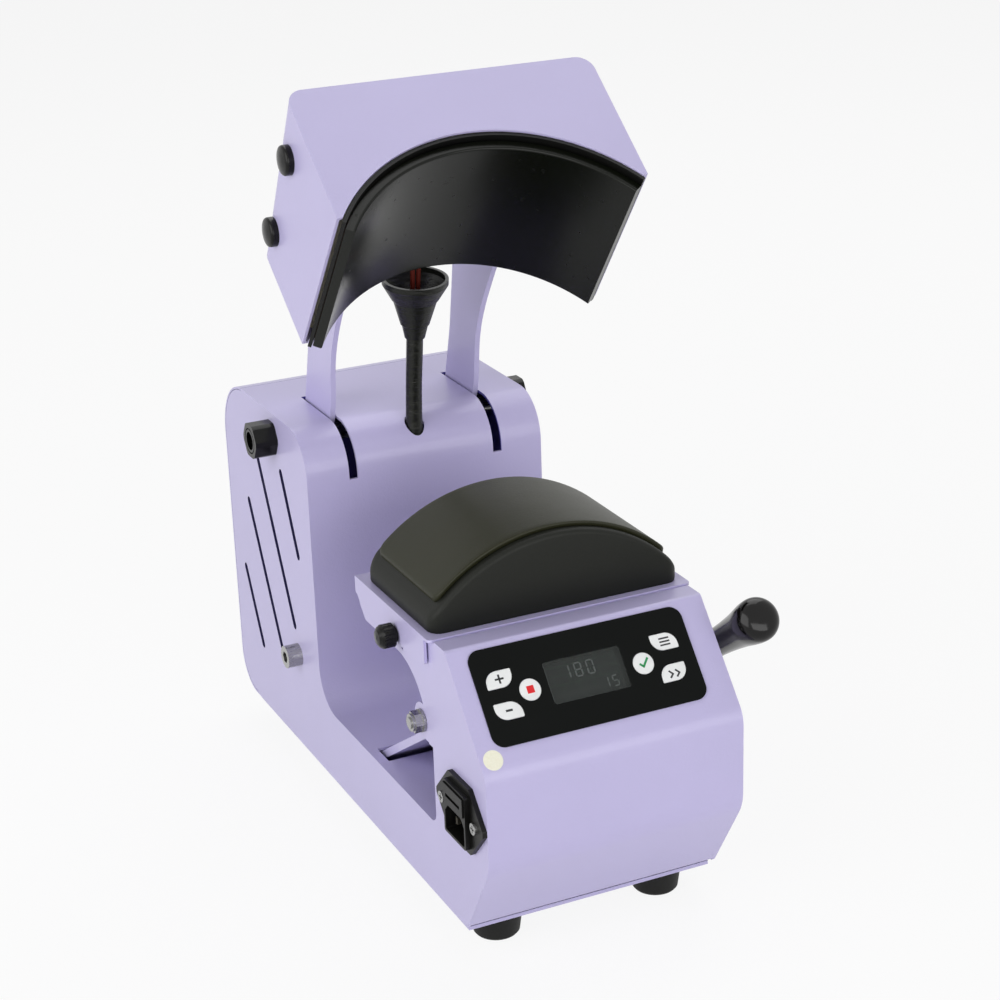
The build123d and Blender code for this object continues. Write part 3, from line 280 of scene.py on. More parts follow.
# %% Zinc-plated and galvanised steel
def plated_steel(name, tint, rough, lines=(40, 900, 900)):
    f = Finish(name)
    drawn = f.noise(1.0, 4, 0.6, f.stretched(*lines))
    stain = f.noise(160, 3)
    return f.surface(Base_Color=f.blend(stain, shade(tint, 0.8), tint), Metallic=1.0,
                     Roughness=rough + drawn * 0.18 + stain * 0.08,
                     Normal=f.bump(drawn, 0.12, 0.0002))


bright_steel = plated_steel("bright_plated_steel", colour(172, 172, 171), 0.14)
plain_sheet = plated_steel("galvanised_sheet", colour(176, 178, 180), 0.38, lines=(60, 60, 60))
pin_metal = plated_steel("nickel_pins", colour(214, 208, 190), 0.18)
report("metals", bright_steel, plain_sheet, pin_metal)

# %% [markdown]
# ## Black parts
# Many blacks sit side by side: moulded nylon with a fine spark texture, smoother nylon on caps and
# screws, rubber feet, glossy phenolic on the grip, black oxide on its hub and a glossy film on the
# keypad. They differ in grain and gloss far more than in colour, so that is what each one sets.


# %% Moulded and rubber blacks
def moulded(name, tint, rough, grain=1500, depth=0.25, slow_scale=60, gloss=0.4):
    f = Finish(name)
    slow = f.noise(slow_scale, 3)
    fine = f.noise(grain, 2)
    return f.surface(Base_Color=f.blend(slow, tint, shade(tint, 1.35, lift=0.001)),
                     Roughness=rough + fine * 0.12 + slow * 0.06,
                     Normal=f.bump(fine, depth, 0.0002), Specular_IOR_Level=gloss)


black_nylon = moulded("black_nylon", colour(9, 9, 8), 0.3, gloss=0.22)
gloss_nylon = moulded("gloss_nylon", colour(4, 4, 3), 0.14,
                      grain=420, depth=0.05, slow_scale=40, gloss=0.24)
foot_rubber = moulded("foot_rubber", colour(12, 12, 11), 0.5, grain=900, depth=0.4, gloss=0.25)
grip_black = moulded("glossy_phenolic", colour(5, 4, 4), 0.06,
                     grain=300, depth=0.02, slow_scale=30, gloss=0.3)
hub_black = moulded("black_oxide", colour(8, 7, 9), 0.16, grain=700, depth=0.1, gloss=0.28)
film_black = moulded("keypad_film", colour(4, 6, 5), 0.12,
                     grain=420, depth=0.02, slow_scale=25, gloss=0.1)
report("blacks", black_nylon, gloss_nylon, foot_rubber, grip_black, hub_black, film_black)

# %% [markdown]
# The boot and the sheath of the cable are soft tube that has been bent many times. Short wrinkles
# lie across them, so a noise packed tightly along Z and loose round the tube makes the bump.


# %% Wrinkled tube
def wrinkled(name, tint, rough, packed, depth):
    f = Finish(name)
    fold = f.noise(1.0, 3, 0.55, f.stretched(45, 45, packed))
    fine = f.noise(800, 2)
    return f.surface(Base_Color=f.blend(fold, tint, shade(tint, 1.7, lift=0.001)),
                     Roughness=rough + fine * 0.1, Specular_IOR_Level=0.28,
                     Normal=f.bump(fold * 0.85 + fine * 0.15, 0.7, depth))


sheath_black = wrinkled("cable_sheath", colour(16, 17, 12), 0.26, packed=190, depth=0.0022)
boot_rubber = wrinkled("boot_rubber", colour(15, 16, 11), 0.3, packed=260, depth=0.0016)
report("wrinkled tube", sheath_black, boot_rubber)

# %% [markdown]
# The platen is sprayed with a satin non-stick coat, dark with a faint warm cloudiness. Here and
# there a speck lies rougher in the film: a noise cut off high leaves only such scattered spots.


# %% Satin non-stick coat of the platen
def nonstick(name, tint, rough):
    f = Finish(name)
    cloud = f.noise(22, 4)
    sprayed = f.noise(1300, 2)
    speck = f.noise(260, 1) > 0.735
    warm = (tint[0] * 1.7, tint[1] * 1.7, tint[2] * 1.3, 1.0)
    return f.surface(Base_Color=f.blend(cloud, tint, warm), Specular_IOR_Level=0.22,
                     Roughness=rough + cloud * 0.08 + speck * 0.12,
                     Normal=f.bump(sprayed, 0.14, 0.0002))


platen_black = nonstick("nonstick_coat", colour(6, 8, 4), 0.2)
rim_black = nonstick("black_rim_paint", colour(5, 5, 5), 0.36)
report("platen coats", platen_black, rim_black)

# %% [markdown]
# ## The pieces under the skin
# Some pieces only show in other views or through a gap: the circuit board, the felt blanket over
# the heater, the rust-red heater mat, a ceramic block and the glass fuse. Each still gets a finish
# of its own.


# %% Inner finishes
def felt(name, tint):
    f = Finish(name)
    fibre = f.noise(1.0, 5, 0.7, f.stretched(900, 300, 600))
    tuft = f.noise(180, 3)
    return f.surface(Base_Color=f.blend(fibre, shade(tint, 0.62), tint), Roughness=0.95,
                     Normal=f.bump(fibre * 0.7 + tuft * 0.5, 0.8, 0.0008))


def board_green(name):
    """Solder mask with a grid of paler copper tracks, laid out by a brick pattern."""
    f = Finish(name)
    track = f.add("ShaderNodeTexBrick", None, {
        "Vector": f.stretched(1, 1.4, 1.4), "Scale": 60, "Mortar Size": 0.012,
        "Color1": colour(18, 74, 44), "Color2": colour(14, 60, 36),
        "Mortar": colour(52, 120, 74)}, "Color")
    return f.surface(Base_Color=track, Roughness=0.3 + f.noise(300) * 0.15,
                     Normal=f.bump(f.noise(500), 0.15, 0.0002))


wool_felt = felt("glass_fibre_felt", colour(226, 219, 198))
circuit_board = board_green("circuit_board")
mat_rust = moulded("silicone_mat", colour(62, 22, 14), 0.6, grain=500, depth=0.4)
wire_red = moulded("silicone_wire", colour(84, 24, 14), 0.5, grain=800, depth=0.2, gloss=0.2)
ceramic = moulded("glazed_ceramic", colour(224, 220, 208), 0.18, grain=300, depth=0.05)
report("inner finishes", wool_felt, circuit_board, mat_rust, wire_red, ceramic)

# %% [markdown]
# Two pieces are clear: the smoked window over the display and the glass of the fuse. Alpha lets
# what lies behind show through, which is enough for a thin sheet that bends no light.


# %% Smoked window and fuse glass
def clear_sheet(name, tint, alpha, rough):
    f = Finish(name)
    haze = f.noise(90, 2)
    return f.surface(Base_Color=f.blend(haze, tint, shade(tint, 1.1)),
                     Roughness=rough + haze * 0.03, Alpha=alpha)


window_smoke = clear_sheet("smoked_window", colour(48, 53, 50), alpha=0.34, rough=0.06)
fuse_glass = clear_sheet("fuse_glass", colour(205, 214, 208), alpha=0.45, rough=0.05)
report("clear sheets", window_smoke, fuse_glass)

# %% [markdown]
# ## Handing out the finishes
# A carried-over CAD piece keeps its mesh; only its material slots change. One table names which
# finish goes on which pieces, and a printed line names the pieces that are still bare: the keys
# and the display, which come next, and the pad and cable solids, which are replaced further down.

# %% Assign finishes to the CAD pieces
wardrobe = {
    shell: ["right_side_plate", "left_side_plate", "tower_sheet"],
    cover_shell: ["rear_cover"],
    lavender: ["arm_lining", "front_panel", "bottom_plate", "pad_tray", "drag_link", "right_arm",
               "left_arm", "head_cover", "bell_crank", "lift_links"],
    bright_steel: ["foot_screws", "body_screws", "inlet_screws", "hinge_shaft", "lower_pivot_bolt",
                   "handle_shaft", "handle_lock_nut", "tail_pins", "arm_bolts", "platen_studs",
                   "arm_hub_tube"],
    plain_sheet: ["head_frame"],
    pin_metal: ["inlet_pins"],
    black_nylon: ["inlet_housing", "fuse_drawer", "cable_clip"],
    gloss_nylon: ["pivot_caps", "head_caps", "thumb_screw_left", "thumb_screw_right"],
    foot_rubber: ["rubber_feet"],
    boot_rubber: ["cable_boot"],
    grip_black: ["handle_grip"],
    hub_black: ["handle_hub"],
    film_black: ["keypad_overlay"],
    sheath_black: ["heater_cable", "inner_cable"],
    platen_black: ["heat_platen"],
    rim_black: ["backing_plate"],
    wool_felt: ["insulation_blanket"],
    circuit_board: ["control_board"],
    mat_rust: ["heater_mat"],
    wire_red: ["heater_wires"],
    ceramic: ["terminal_block"],
    window_smoke: ["display_lens"],
    fuse_glass: ["fuse"],
}
dressed = set()


def dress(node, material):
    for slot in nodes[node].material_slots:
        slot.material = material
    dressed.add(node)


for material, names in wardrobe.items():
    for name in names:
        dress(name, material)
print("dressed", len(dressed), "still bare", sorted(set(nodes) - dressed))

# %% [markdown]
# ## Keys and the display glass
# The keys are white printed film over domes, so they are smooth with a faint satin grain. The
# display is a grey liquid-crystal sheet; its idle segments show as a slightly lighter ghost.

# %% Finishes of the keypad
key_white = moulded("printed_key_white", colour(224, 227, 225), 0.3, grain=800, depth=0.05)
crystal_grey = moulded("liquid_crystal", colour(74, 80, 78), 0.22, grain=500, depth=0.03)
segment_grey = moulded("idle_segment", colour(100, 108, 105), 0.25, grain=500, depth=0.03)
ink_dark = moulded("dark_ink", colour(30, 30, 32), 0.4, grain=800, depth=0.05)
ink_red = moulded("red_ink", colour(206, 34, 40), 0.4, grain=800, depth=0.05)
ink_green = moulded("green_ink", colour(30, 132, 74), 0.4, grain=800, depth=0.05)
for name in ("key_up", "key_down", "key_stop", "key_enter", "key_set", "key_mode"):
    dress(name, key_white)
dress("display_module", crystal_grey)
report("keypad", key_white, crystal_grey, segment_grey, ink_dark, ink_red, ink_green)

# %% [markdown]
# ## A helper for small flat marks
# Ink on a key and the paper disc below it are the same thing in a mesh: a thin closed prism on the
# sloped face. `plate_mesh` takes outlines in face coordinates and gives them a small thickness.


# %% Thin prisms on the display face
def smoothed(mesh, smooth):
    for polygon in mesh.polygons:
        polygon.use_smooth = smooth


def new_piece(name, mesh, material, body):
    smoothed(mesh, False)
    piece = new_object(name, mesh)
    mesh.materials.clear()
    mesh.materials.append(material)
    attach(piece, body)
    return piece


def plate_mesh(name, outlines, low, high):
    """Closed prisms over outlines given as lists of (u, v), between two lifts off the sheet."""
    bm = bmesh.new()
    for outline in outlines:
        base = [bm.verts.new(on_face(u, v, low)) for u, v in outline]
        lid = [bm.verts.new(on_face(u, v, high)) for u, v in outline]
        bm.faces.new(base)
        bm.faces.new(lid)
        for i in range(len(outline)):
            j = (i + 1) % len(outline)
            bm.faces.new((base[i], base[j], lid[j], lid[i]))
    bmesh.ops.recalc_face_normals(bm, faces=bm.faces)
    mesh = bpy.data.meshes.new(name)
    bm.to_mesh(mesh)
    bm.free()
    return mesh


def bar_mark(at, long, wide, turn=0.0):
    """Outline of a small bar, turned about its middle."""
    (u, v), c, s = at, math.cos(math.radians(turn)), math.sin(math.radians(turn))
    half_long, half_wide = long / 2, wide / 2
    corners = [(-half_long, -half_wide), (half_long, -half_wide),
               (half_long, half_wide), (-half_long, half_wide)]
    return [(u + a * c - b * s, v + a * s + b * c) for a, b in corners]


# %% [markdown]
# ## Marks on the keys
# The keys carry plain symbols of a kind found on any appliance: plus, minus, a square for stop, a
# tick for accept, a small list for the settings and two arrows for the next mode. Each is a film of
# ink just proud of its key, and it rides on that key's body so it moves when the key is pressed.

# %% Ink symbols
KEY_TOP = 1.4                   # lift of a key's top off the sheet
INK_SUNK, INK_PROUD = 0.05, 0.04
PLUS_AT, MINUS_AT, STOP_AT = (-48.4, 19.5), (-48.4, 35.5), (-34.5, 27.9)
TICK_SHORT_AT, TICK_LONG_AT = (26.1, 29.2), (28.4, 27.9)
LIST_U, LIST_V = 41.9, (18.2, 19.9, 21.6)
ARROW_U, ARROW_V, ARROW_TURN = (39.8, 43.4), (36.0, 37.6), (45, -45)

symbols = {
    "key_up": (ink_dark, [bar_mark(PLUS_AT, 4.6, 1.0), bar_mark(PLUS_AT, 1.0, 4.6)]),
    "key_down": (ink_dark, [bar_mark(MINUS_AT, 3.6, 1.1)]),
    "key_stop": (ink_red, [bar_mark(STOP_AT, 3.8, 3.8)]),
    "key_enter": (ink_green, [bar_mark(TICK_SHORT_AT, 3.0, 1.1, 45),
                              bar_mark(TICK_LONG_AT, 5.4, 1.1, -50)]),
    "key_set": (ink_dark, [bar_mark((LIST_U, v), 5.6, 0.8) for v in LIST_V]),
    "key_mode": (ink_dark, [bar_mark((u, v), 3.0, 0.9, turn)
                            for u in ARROW_U for v, turn in zip(ARROW_V, ARROW_TURN)]),
}
for key, (ink, marks) in symbols.items():
    mesh = plate_mesh(key + "_ink", marks, KEY_TOP - INK_SUNK, KEY_TOP + INK_PROUD)
    new_piece(key + "_ink", mesh, ink, key + "_body")
print("ink symbols", len(symbols))

# %% [markdown]
# ## Digits made by Geometry Nodes
# A seven-segment digit is one shape repeated at seven places, some turned upright. The tree takes a
# mesh whose points carry a `turn` attribute, puts a small bar on each point, realises the
# copies and sets the material. Length, width and thickness are named inputs of the tree.


# %% The segment tree
def group_input(tree, name, kind, value):
    item = tree.interface.new_socket(name=name, in_out="INPUT", socket_type=kind)
    item.default_value = value
    return item.identifier


def segment_tree(material):
    tree = bpy.data.node_groups.new("display_segments", "GeometryNodeTree")
    tree.interface.new_socket(name="Geometry", in_out="INPUT", socket_type="NodeSocketGeometry")
    ids = {name: group_input(tree, name, "NodeSocketFloat", value) for name, value in (
        ("Segment length", 0.003), ("Segment width", 0.0007), ("Film thickness", 0.0001))}
    tree.interface.new_socket(name="Geometry", in_out="OUTPUT", socket_type="NodeSocketGeometry")
    new, link = tree.nodes.new, tree.links.new
    start, end = new("NodeGroupInput"), new("NodeGroupOutput")
    size = new("ShaderNodeCombineXYZ")
    link(start.outputs["Segment length"], size.inputs["X"])
    link(start.outputs["Segment width"], size.inputs["Y"])
    link(start.outputs["Film thickness"], size.inputs["Z"])
    bar = new("GeometryNodeMeshCube")
    link(size.outputs[0], bar.inputs["Size"])
    turn = new("GeometryNodeInputNamedAttribute")
    turn.data_type = "FLOAT_VECTOR"
    turn.inputs["Name"].default_value = "turn"
    copies = new("GeometryNodeInstanceOnPoints")
    link(start.outputs["Geometry"], copies.inputs["Points"])
    link(bar.outputs["Mesh"], copies.inputs["Instance"])
    link(turn.outputs["Attribute"], copies.inputs["Rotation"])
    real = new("GeometryNodeRealizeInstances")
    link(copies.outputs["Instances"], real.inputs[0])
    finish = new("GeometryNodeSetMaterial")
    finish.inputs["Material"].default_value = material
    link(real.outputs[0], finish.inputs["Geometry"])
    link(finish.outputs["Geometry"], end.inputs[0])
    return tree, ids


tree, ids = segment_tree(segment_grey)
print("segment tree inputs", sorted(ids))

# %% [markdown]
# A digit is a short word of segment letters, and each letter knows its place and whether it stands
# upright. The points lie in the slope of the face, on the display behind its window, and the tree
# then turns them into bars. A mesh baked from it is plain and needs no modifier any more.

# %% Points of the digits, and the baked meshes
DIGIT_LIFT = -1.46  # under the sheet, on the display
SEGMENTS = {  # in half heights of a digit: across, down, upright
    "a": (0, -1, 0), "b": (0.5, -0.5, 1), "c": (0.5, 0.5, 1), "d": (0, 1, 0), "e": (-0.5, 0.5, 1),
    "f": (-0.5, -0.5, 1), "g": (0, 0, 0)}
DIGITS = {"0": "abcdef", "1": "bc", "5": "afgcd", "8": "abcdefg"}


def digit_points(text, u, v, high, step):
    """Points and turns for a row of digits; high is the half height of one digit."""
    found = []
    for i, letter in enumerate(text):
        for name in DIGITS[letter]:
            across, down, upright = SEGMENTS[name]
            point = on_face(u + i * step + across * high, v + down * high, DIGIT_LIFT)
            found.append((point, upright))
    return found


def bake_tree(name, points, sizes):
    mesh = bpy.data.meshes.new(name + "_points")
    mesh.from_pydata([tuple(p) for p, upright in points], [], [])
    turns = mesh.attributes.new("turn", "FLOAT_VECTOR", "POINT")
    for item, (p, upright) in zip(turns.data, points):
        # turned about Z when upright, then tipped back to lie in the sloped face
        in_face = Matrix.Rotation(math.pi / 2 * upright, 3, "Z")
        item.vector = (Matrix.Rotation(FACE_ANGLE, 3, "X") @ in_face).to_euler()
    source = new_object(name + "_points", mesh)
    modifier = source.modifiers.new("segments", "NODES")
    modifier.node_group = tree
    for key, value in sizes.items():
        modifier[ids[key]] = value
    depsgraph = bpy.context.evaluated_depsgraph_get()
    baked = bpy.data.meshes.new_from_object(source.evaluated_get(depsgraph), depsgraph=depsgraph)
    source.modifiers.remove(modifier)
    bpy.data.objects.remove(source)
    print(name, "vertices", len(baked.vertices))
    return baked


big = bake_tree(
    "upper_digits", digit_points("180", u=-12.5, v=23.0, high=3.4, step=6.6),
    {"Segment length": 0.0028, "Segment width": 0.0007, "Film thickness": 0.0001})
small = bake_tree(
    "lower_digits", digit_points("15", u=6.2, v=32.6, high=2.6, step=5.2),
    {"Segment length": 0.0021, "Segment width": 0.0006, "Film thickness": 0.0001})
new_piece("upper_digits", big, segment_grey, "body")
new_piece("lower_digits", small, segment_grey, "body")

# %% [markdown]
# ## A bare paper disc
# A small cream disc is stuck under the keypad. It is left bare here. Paper is matt with a soft
# fibre, and a disc this thin only needs an outline of points round a circle.

# %% The disc
DISC_U, DISC_V, DISC_R, DISC_T = -63.6, 56.8, 5.0, 0.16
DISC_POINTS = 40


def paper(name):
    f = Finish(name)
    fibre = f.noise(900, 4)
    tone = f.blend(fibre, colour(236, 233, 208), colour(250, 249, 232))
    return f.surface(Base_Color=tone, Roughness=0.7, Normal=f.bump(fibre, 0.2, 0.0002))


angles = [i * math.tau / DISC_POINTS for i in range(DISC_POINTS)]
disc = [(DISC_U + DISC_R * math.cos(a), DISC_V + DISC_R * math.sin(a)) for a in angles]
disc_mesh = plate_mesh("paper_disc", [disc], 0.0, DISC_T)
new_piece("paper_disc", disc_mesh, paper("cream_paper"), "body")
print("disc corners", len(disc))

# %% [markdown]
# ## The moulded pad
# The pad is a block of black silicone foam with a crowned top. An olive-grey skin covers the
# crown but stops short of the rim, which leaves a dark step all round. Both follow one rule, a
# rounded rectangle whose height is a circle about the crown line, so rings of points are built from
# that rule, from the foot up the wall, over a rounded edge and across the top.

# %% Rings over a crowned block
CROWN_Z = 115.5
PAD_Y = (-117.5, -34.0)
PAD_HALF = 69.0
CORNER_CUTS, LONG_CUTS, SHORT_CUTS = 8, 37, 17  # pieces of a corner, a long and a short side
LEAST_CORNER = 1.2
mid_y = (PAD_Y[0] + PAD_Y[1]) / 2
half_y = (PAD_Y[1] - PAD_Y[0]) / 2


def ring(inset, corner, height):
    """One closed ring of (x, y, z) millimetre points, inset from the pad's outline."""
    hx, hy = PAD_HALF - inset, half_y - inset
    r = max(corner - inset, min(LEAST_CORNER, hy), 0.0)
    flat_x, flat_y = hx - r, max(hy - r, 0.0)
    points = []
    for sx, sy, start in ((1, 1, 0), (-1, 1, 90), (-1, -1, 180), (1, -1, 270)):
        for i in range(CORNER_CUTS + 1):
            a = math.radians(start + i * 90 / CORNER_CUTS)
            points.append((sx * flat_x + r * math.cos(a), sy * flat_y + r * math.sin(a)))
        cuts = LONG_CUTS if start in (0, 180) else SHORT_CUTS
        for k in range(1, cuts):
            way = 1 - 2 * k / cuts
            points.append({0: (flat_x * way, hy), 90: (-hx, flat_y * way),
                           180: (-flat_x * way, -hy), 270: (hx, -flat_y * way)}[start])
    return [(x, mid_y + y, height(x)) for x, y in points]


def block_from_rings(name, rings):
    bm = bmesh.new()
    rows = [[bm.verts.new(spot(*p)) for p in one] for one in rings]
    for lower, upper in zip(rows, rows[1:]):
        for i in range(len(lower)):
            j = (i + 1) % len(lower)
            bm.faces.new((lower[i], lower[j], upper[j], upper[i]))
    bmesh.ops.remove_doubles(bm, verts=bm.verts, dist=1e-6)
    bmesh.ops.dissolve_degenerate(bm, edges=bm.edges, dist=1e-6)
    bmesh.ops.recalc_face_normals(bm, faces=bm.faces)
    mesh = bpy.data.meshes.new(name)
    bm.to_mesh(mesh)
    bm.free()
    print(name, "faces", len(mesh.polygons))
    return mesh


# %% [markdown]
# A ring's height is a rule of x: level, on a circle about the crown line, at a distance from
# another rule, or part of the way between two. A rounded edge is a quarter circle of rings that
# come in while they go up.


# %% Height rules and rounded edges
def level(z):
    return lambda x: z


def crown(radius):
    return lambda x: CROWN_Z + math.sqrt(max(radius * radius - x * x, 1.0))


def raised(rule, rise):
    return lambda x: rule(x) + rise


def between(low, high, share):
    return lambda x: low(x) * (1 - share) + high(x) * share


def rounded_edge(inset, radius, corner, top, steps):
    rings = []
    for step in range(1, steps + 1):
        a = math.radians(step * 90 / steps)
        height = raised(top, -radius * (1 - math.sin(a)))
        rings.append(ring(inset + radius * (1 - math.cos(a)), corner, height))
    return rings


def rings_at(insets, corner, height):
    return [ring(inset, corner, height) for inset in insets]


print("crown of the foam", crown(88.7)(0.0), "mm, of the skin", crown(91.3)(0.0), "mm")

# %% [markdown]
# The foam's foot is tucked in by 0.4 mm, its wall stands straight and its edge takes six rings. The
# top repeats the rule at growing insets until the ring has no width left: its two long sides then
# meet in one line, which closes the surface without a patch. The underside closes the same way.

# %% Foam block and olive skin
PAD_FOOT, FOOT_LIFT = 163.5, 1.2
FOAM_CORNER, FOAM_EDGE, FOAM_R = 7.0, 3.0, 88.7
SKIN_CORNER, SKIN_EDGE, SKIN_R = 9.0, 1.0, 91.3
SKIN_IN = 5.3     # how far the skin stops short of the foam's outline
SKIN_STEP = 0.4   # its underside lies this deep in the foam, and its wall starts this far above
SKIN_FLARE = 0.3  # how far its wall stands out over its foot

foam_top, skin_top = crown(FOAM_R), crown(SKIN_R)
foot_top, wall_top = level(PAD_FOOT + FOOT_LIFT), raised(foam_top, -FOAM_EDGE)
foam_rings = rings_at((half_y, 20, 0.4), FOAM_CORNER, level(PAD_FOOT))
foam_rings.append(ring(0.0, FOAM_CORNER, foot_top))
foam_rings += [ring(0.0, FOAM_CORNER, between(foot_top, wall_top, k)) for k in (0.5, 1.0)]
foam_rings += rounded_edge(0.0, FOAM_EDGE, FOAM_CORNER, foam_top, 6)
foam_rings += rings_at((6, 10, 15, 20, 25, 30, 35, 39, half_y), FOAM_CORNER, foam_top)

skin_rings = rings_at((half_y, 38, 33, 28, 23, 18, 13, 9, SKIN_IN + 0.5), SKIN_CORNER,
                      raised(foam_top, -SKIN_STEP))
skin_rings.append(ring(SKIN_IN, SKIN_CORNER, raised(foam_top, SKIN_STEP)))
skin_rings.append(ring(SKIN_IN - SKIN_FLARE, SKIN_CORNER, raised(skin_top, -SKIN_EDGE)))
skin_rings += rounded_edge(SKIN_IN - SKIN_FLARE, SKIN_EDGE, SKIN_CORNER, skin_top, 5)
skin_rings += rings_at((9, 13, 18, 23, 28, 33, 38, half_y), SKIN_CORNER, skin_top)
foam = block_from_rings("pad_foam", foam_rings)
skin = block_from_rings("pad_skin_sheet", skin_rings)

# %% [markdown]
# Silicone is matt with a waxy sheen. The foam is nearly black; the skin is olive-grey with a faint
# mottling from handling, and both have a very fine cast texture.


# %% Silicone finishes
def silicone(name, tint, worn, rough):
    f = Finish(name)
    mottle = f.noise(26, 4, 0.6)
    rub = f.noise(1.0, 3, 0.5, f.stretched(30, 90, 30))
    cast = f.noise(1100, 2)
    tone = f.blend(mottle * 0.7 + rub * 0.3, tint, worn)
    return f.surface(Base_Color=tone, Roughness=rough + cast * 0.1 + rub * 0.05,
                     Normal=f.bump(cast * 0.7 + rub * 0.3, 0.3, 0.0003), Specular_IOR_Level=0.24)


def soft_piece(name, mesh, material, node):
    piece = new_piece(name, mesh, material, "body")
    smoothed(mesh, True)
    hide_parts(node)


foam_black = silicone("foam_silicone", colour(12, 14, 9), colour(18, 20, 13), 0.44)
skin_olive = silicone("skin_silicone", colour(31, 33, 17), colour(42, 42, 25), 0.37)
soft_piece("pad_foam", foam, foam_black, "pad_core")
soft_piece("pad_skin_sheet", skin, skin_olive, "pad_skin")
report("pad", foam_black, skin_olive)

# %% [markdown]
# ## The heater cable
# One round cable leaves the boot under the head and drops through a hole in the tower. It is one
# smooth NURBS curve drawn towards a few given points, and its thickness varies a little, as
# a sleeve that has been bent does.

# %% Cable curve and its bend
CABLE_X, CABLE_R = -2.2, 4.55
SLEEVE_SWELL, SWELL_STEP = 0.03, 2.3  # share of the radius, and how fast it comes and goes
CABLE_YZ = ((43.22, 283.5), (46.45, 258.5), (51.0, 232.0), (53.0, 207.0), (50.25, 190.0),
            (50.25, 180.0))


def cable_mesh(name, route, radius):
    curve = bpy.data.curves.new(name, "CURVE")
    curve.dimensions = "3D"
    curve.bevel_depth = radius * MM
    curve.bevel_resolution = 5
    curve.resolution_u = 16
    curve.use_fill_caps = True
    spline = curve.splines.new("NURBS")
    spline.points.add(len(route) - 1)
    for i, (point, place) in enumerate(zip(spline.points, route)):
        point.co = (*spot(*place), 1.0)
        point.radius = 1.0 + SLEEVE_SWELL * math.sin(SWELL_STEP * i)
    spline.order_u = 3
    spline.use_endpoint_u = True
    line = new_object(name + "_line", curve)
    depsgraph = bpy.context.evaluated_depsgraph_get()
    mesh = bpy.data.meshes.new_from_object(line.evaluated_get(depsgraph))
    bpy.data.objects.remove(line)
    print(name, "vertices", len(mesh.vertices))
    return mesh


bend_mesh = cable_mesh("heater_cable_bend", [(CABLE_X, y, z) for y, z in CABLE_YZ], CABLE_R)
free_cable = new_object("heater_cable_bend", bend_mesh)
bend_mesh.materials.clear()
bend_mesh.materials.append(sheath_black)
smoothed(bend_mesh, True)
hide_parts("heater_cable")
tuple(spot(CABLE_X, 52.6, 212))
tuple(spot(CABLE_X, 46.3, 261))
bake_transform(free_cable)

# %% [markdown]
# ## The floor
# A pale floor suits a catalogue picture. It is matt, so it takes the shadow of the press, and it
# glows only for rays that a viewer follows: straight, in a gloss or through glass. So it looks
# white without lighting the press more. About a tenth stays matt even there, for the shadow.


# %% Floor
def seen_rays(graph):
    """One for rays that a viewer follows: straight, in a gloss or through glass."""
    straight, gloss, glass = [graph.add("ShaderNodeLightPath", out="Is %s Ray" % kind)
                              for kind in ("Camera", "Glossy", "Transmission")]
    return graph.add("ShaderNodeMath", {"operation": "ADD", "use_clamp": True},
                     {0: straight + gloss, 1: glass})


FLOOR_HALF = 6
FLOOR_GLOW = 0.89  # share of the glow where the floor is seen
h = FLOOR_HALF
floor_mesh = bpy.data.meshes.new("floor")
floor_mesh.from_pydata([(-h, -h, 0), (h, -h, 0), (h, h, 0), (-h, h, 0)], [], [(0, 1, 2, 3)])
floor = new_object("floor", floor_mesh)
f = Finish("pale_floor")
matt = f.add("ShaderNodeBsdfDiffuse", None, {"Color": (0.9, 0.9, 0.9, 1)})
glow = f.add("ShaderNodeEmission", None, {"Color": (1, 1, 1, 1), "Strength": 1.0})
f.add_output(f.add("ShaderNodeMixShader", None, {0: seen_rays(f) * FLOOR_GLOW, 1: matt, 2: glow}))
floor_mesh.materials.append(f.material)
print("floor", 2 * FLOOR_HALF, "m wide")

# %% [markdown]
# ## The surround and the lamps
# The same mask makes the surround white where it is seen and dim where it lights the press. Three
# soft boxes do the lighting. They are large, because the coat mirrors a lamp at a grazing angle:
# the same power over a wider box is dimmer to look at, so a pale sheet doesn't turn white.

# %% World and lamps
world = bpy.data.worlds.new("studio")
bpy.context.scene.world = world
world.use_nodes = True
studio = Graph(world.node_tree)
sky = studio.add("ShaderNodeBackground", None, {"Color": (0.95, 0.95, 1.0, 1), "Strength": 0.18})
white = studio.add("ShaderNodeBackground", None, {"Color": (1, 1, 1, 1), "Strength": 1.0})
surround = studio.add("ShaderNodeMixShader", None, {0: seen_rays(studio), 1: sky, 2: white})
studio.add_output(surround, "ShaderNodeOutputWorld")


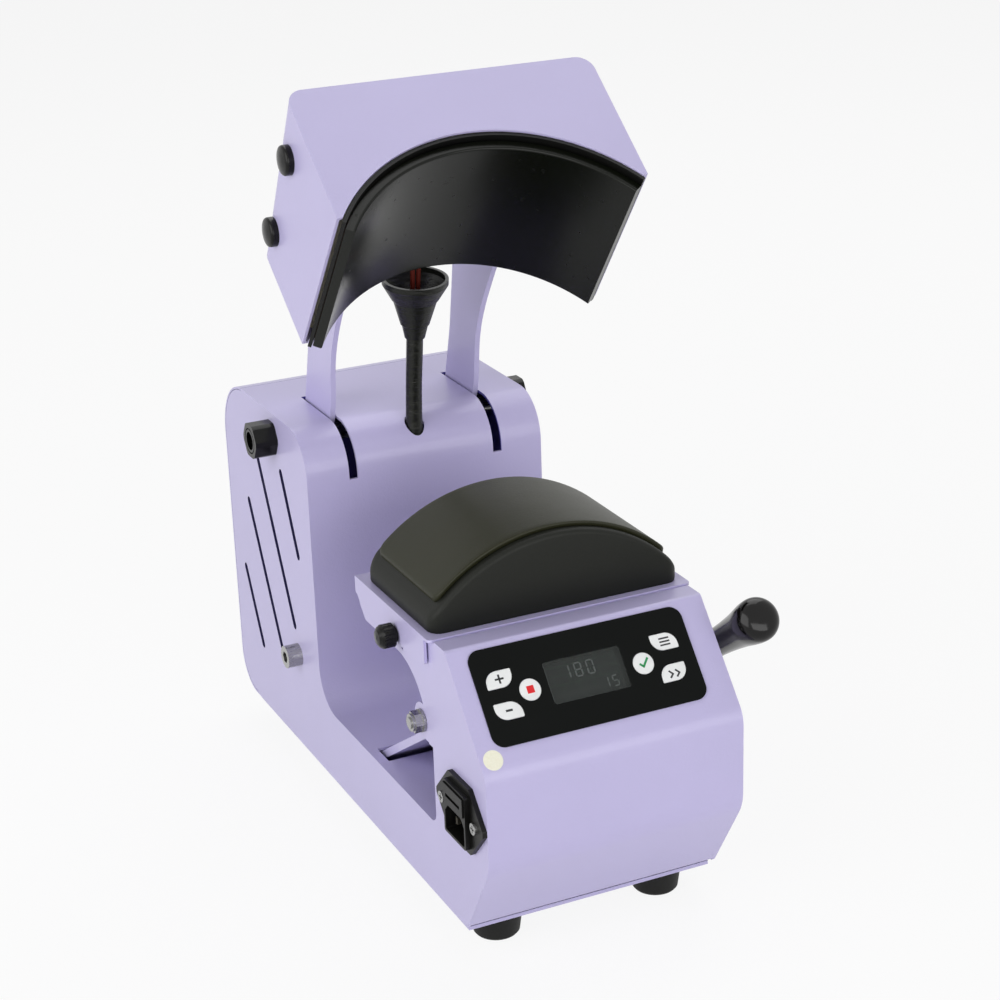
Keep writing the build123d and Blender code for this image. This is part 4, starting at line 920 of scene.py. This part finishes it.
def softbox(name, place, target, size, power):
    lamp = bpy.data.lights.new(name, "AREA")
    lamp.shape = "RECTANGLE"
    lamp.size, lamp.size_y = size
    lamp.energy = power
    box = new_object(name, lamp)
    box.location = place
    box.rotation_euler = (Vector(target) - Vector(place)).to_track_quat("-Z", "Y").to_euler()
    print(name, power, "W")


softbox("left_softbox", place=(-1.6, -0.5, 0.9), target=(0, 0, 0.2), size=(2.0, 1.6), power=22)
softbox("front_softbox", place=(0.1, -1.95, 0.6), target=(0, 0, 0.2), size=(2.0, 1.0), power=17)
softbox("top_softbox", place=(0.7, 0.85, 2.0), target=(0, 0, 0.15), size=(1.8, 1.8), power=18)

# %% [markdown]
# ## The camera
# The camera stands where the photograph was taken from: straight edges of the press were solved for
# its place, its lens and its roll. The solved lens is a focal length and a middle in pixels, and
# Blender wants them as millimetres on a sensor and as a shift in widths of the picture.

# %% Camera
PICTURE = 1000
FOCAL_PX, MIDDLE_PX = 2296.68, (490.1, 492.8)
SENSOR = 36.0
CAMERA_AT = spot(-462.58, -1056.51, 623.10)
azimuth, elevation, roll = (math.radians(angle) for angle in (-24.473, 20.778, -2.073))
level_part = math.cos(elevation)
forward = Vector((-math.sin(azimuth) * level_part, math.cos(azimuth) * level_part,
                  -math.sin(elevation)))
right = Vector((math.cos(azimuth), math.sin(azimuth), 0))
up = right.cross(forward)
c, s = math.cos(roll), math.sin(roll)
right_r, up_r = c * right + s * up, -s * right + c * up
lens = bpy.data.cameras.new("camera")
lens.sensor_width = SENSOR
lens.lens = FOCAL_PX * SENSOR / PICTURE
lens.shift_x = (PICTURE / 2 - MIDDLE_PX[0]) / PICTURE
lens.shift_y = (MIDDLE_PX[1] - PICTURE / 2) / PICTURE
lens.clip_start = 0.05
camera = new_object("camera", lens)
turn = Matrix((right_r, up_r, -forward)).transposed().to_4x4()
camera.matrix_world = Matrix.Translation(CAMERA_AT) @ turn
bpy.context.scene.camera = camera
bpy.context.scene.view_settings.view_transform = "Standard"
print("camera at", camera.matrix_world.translation)
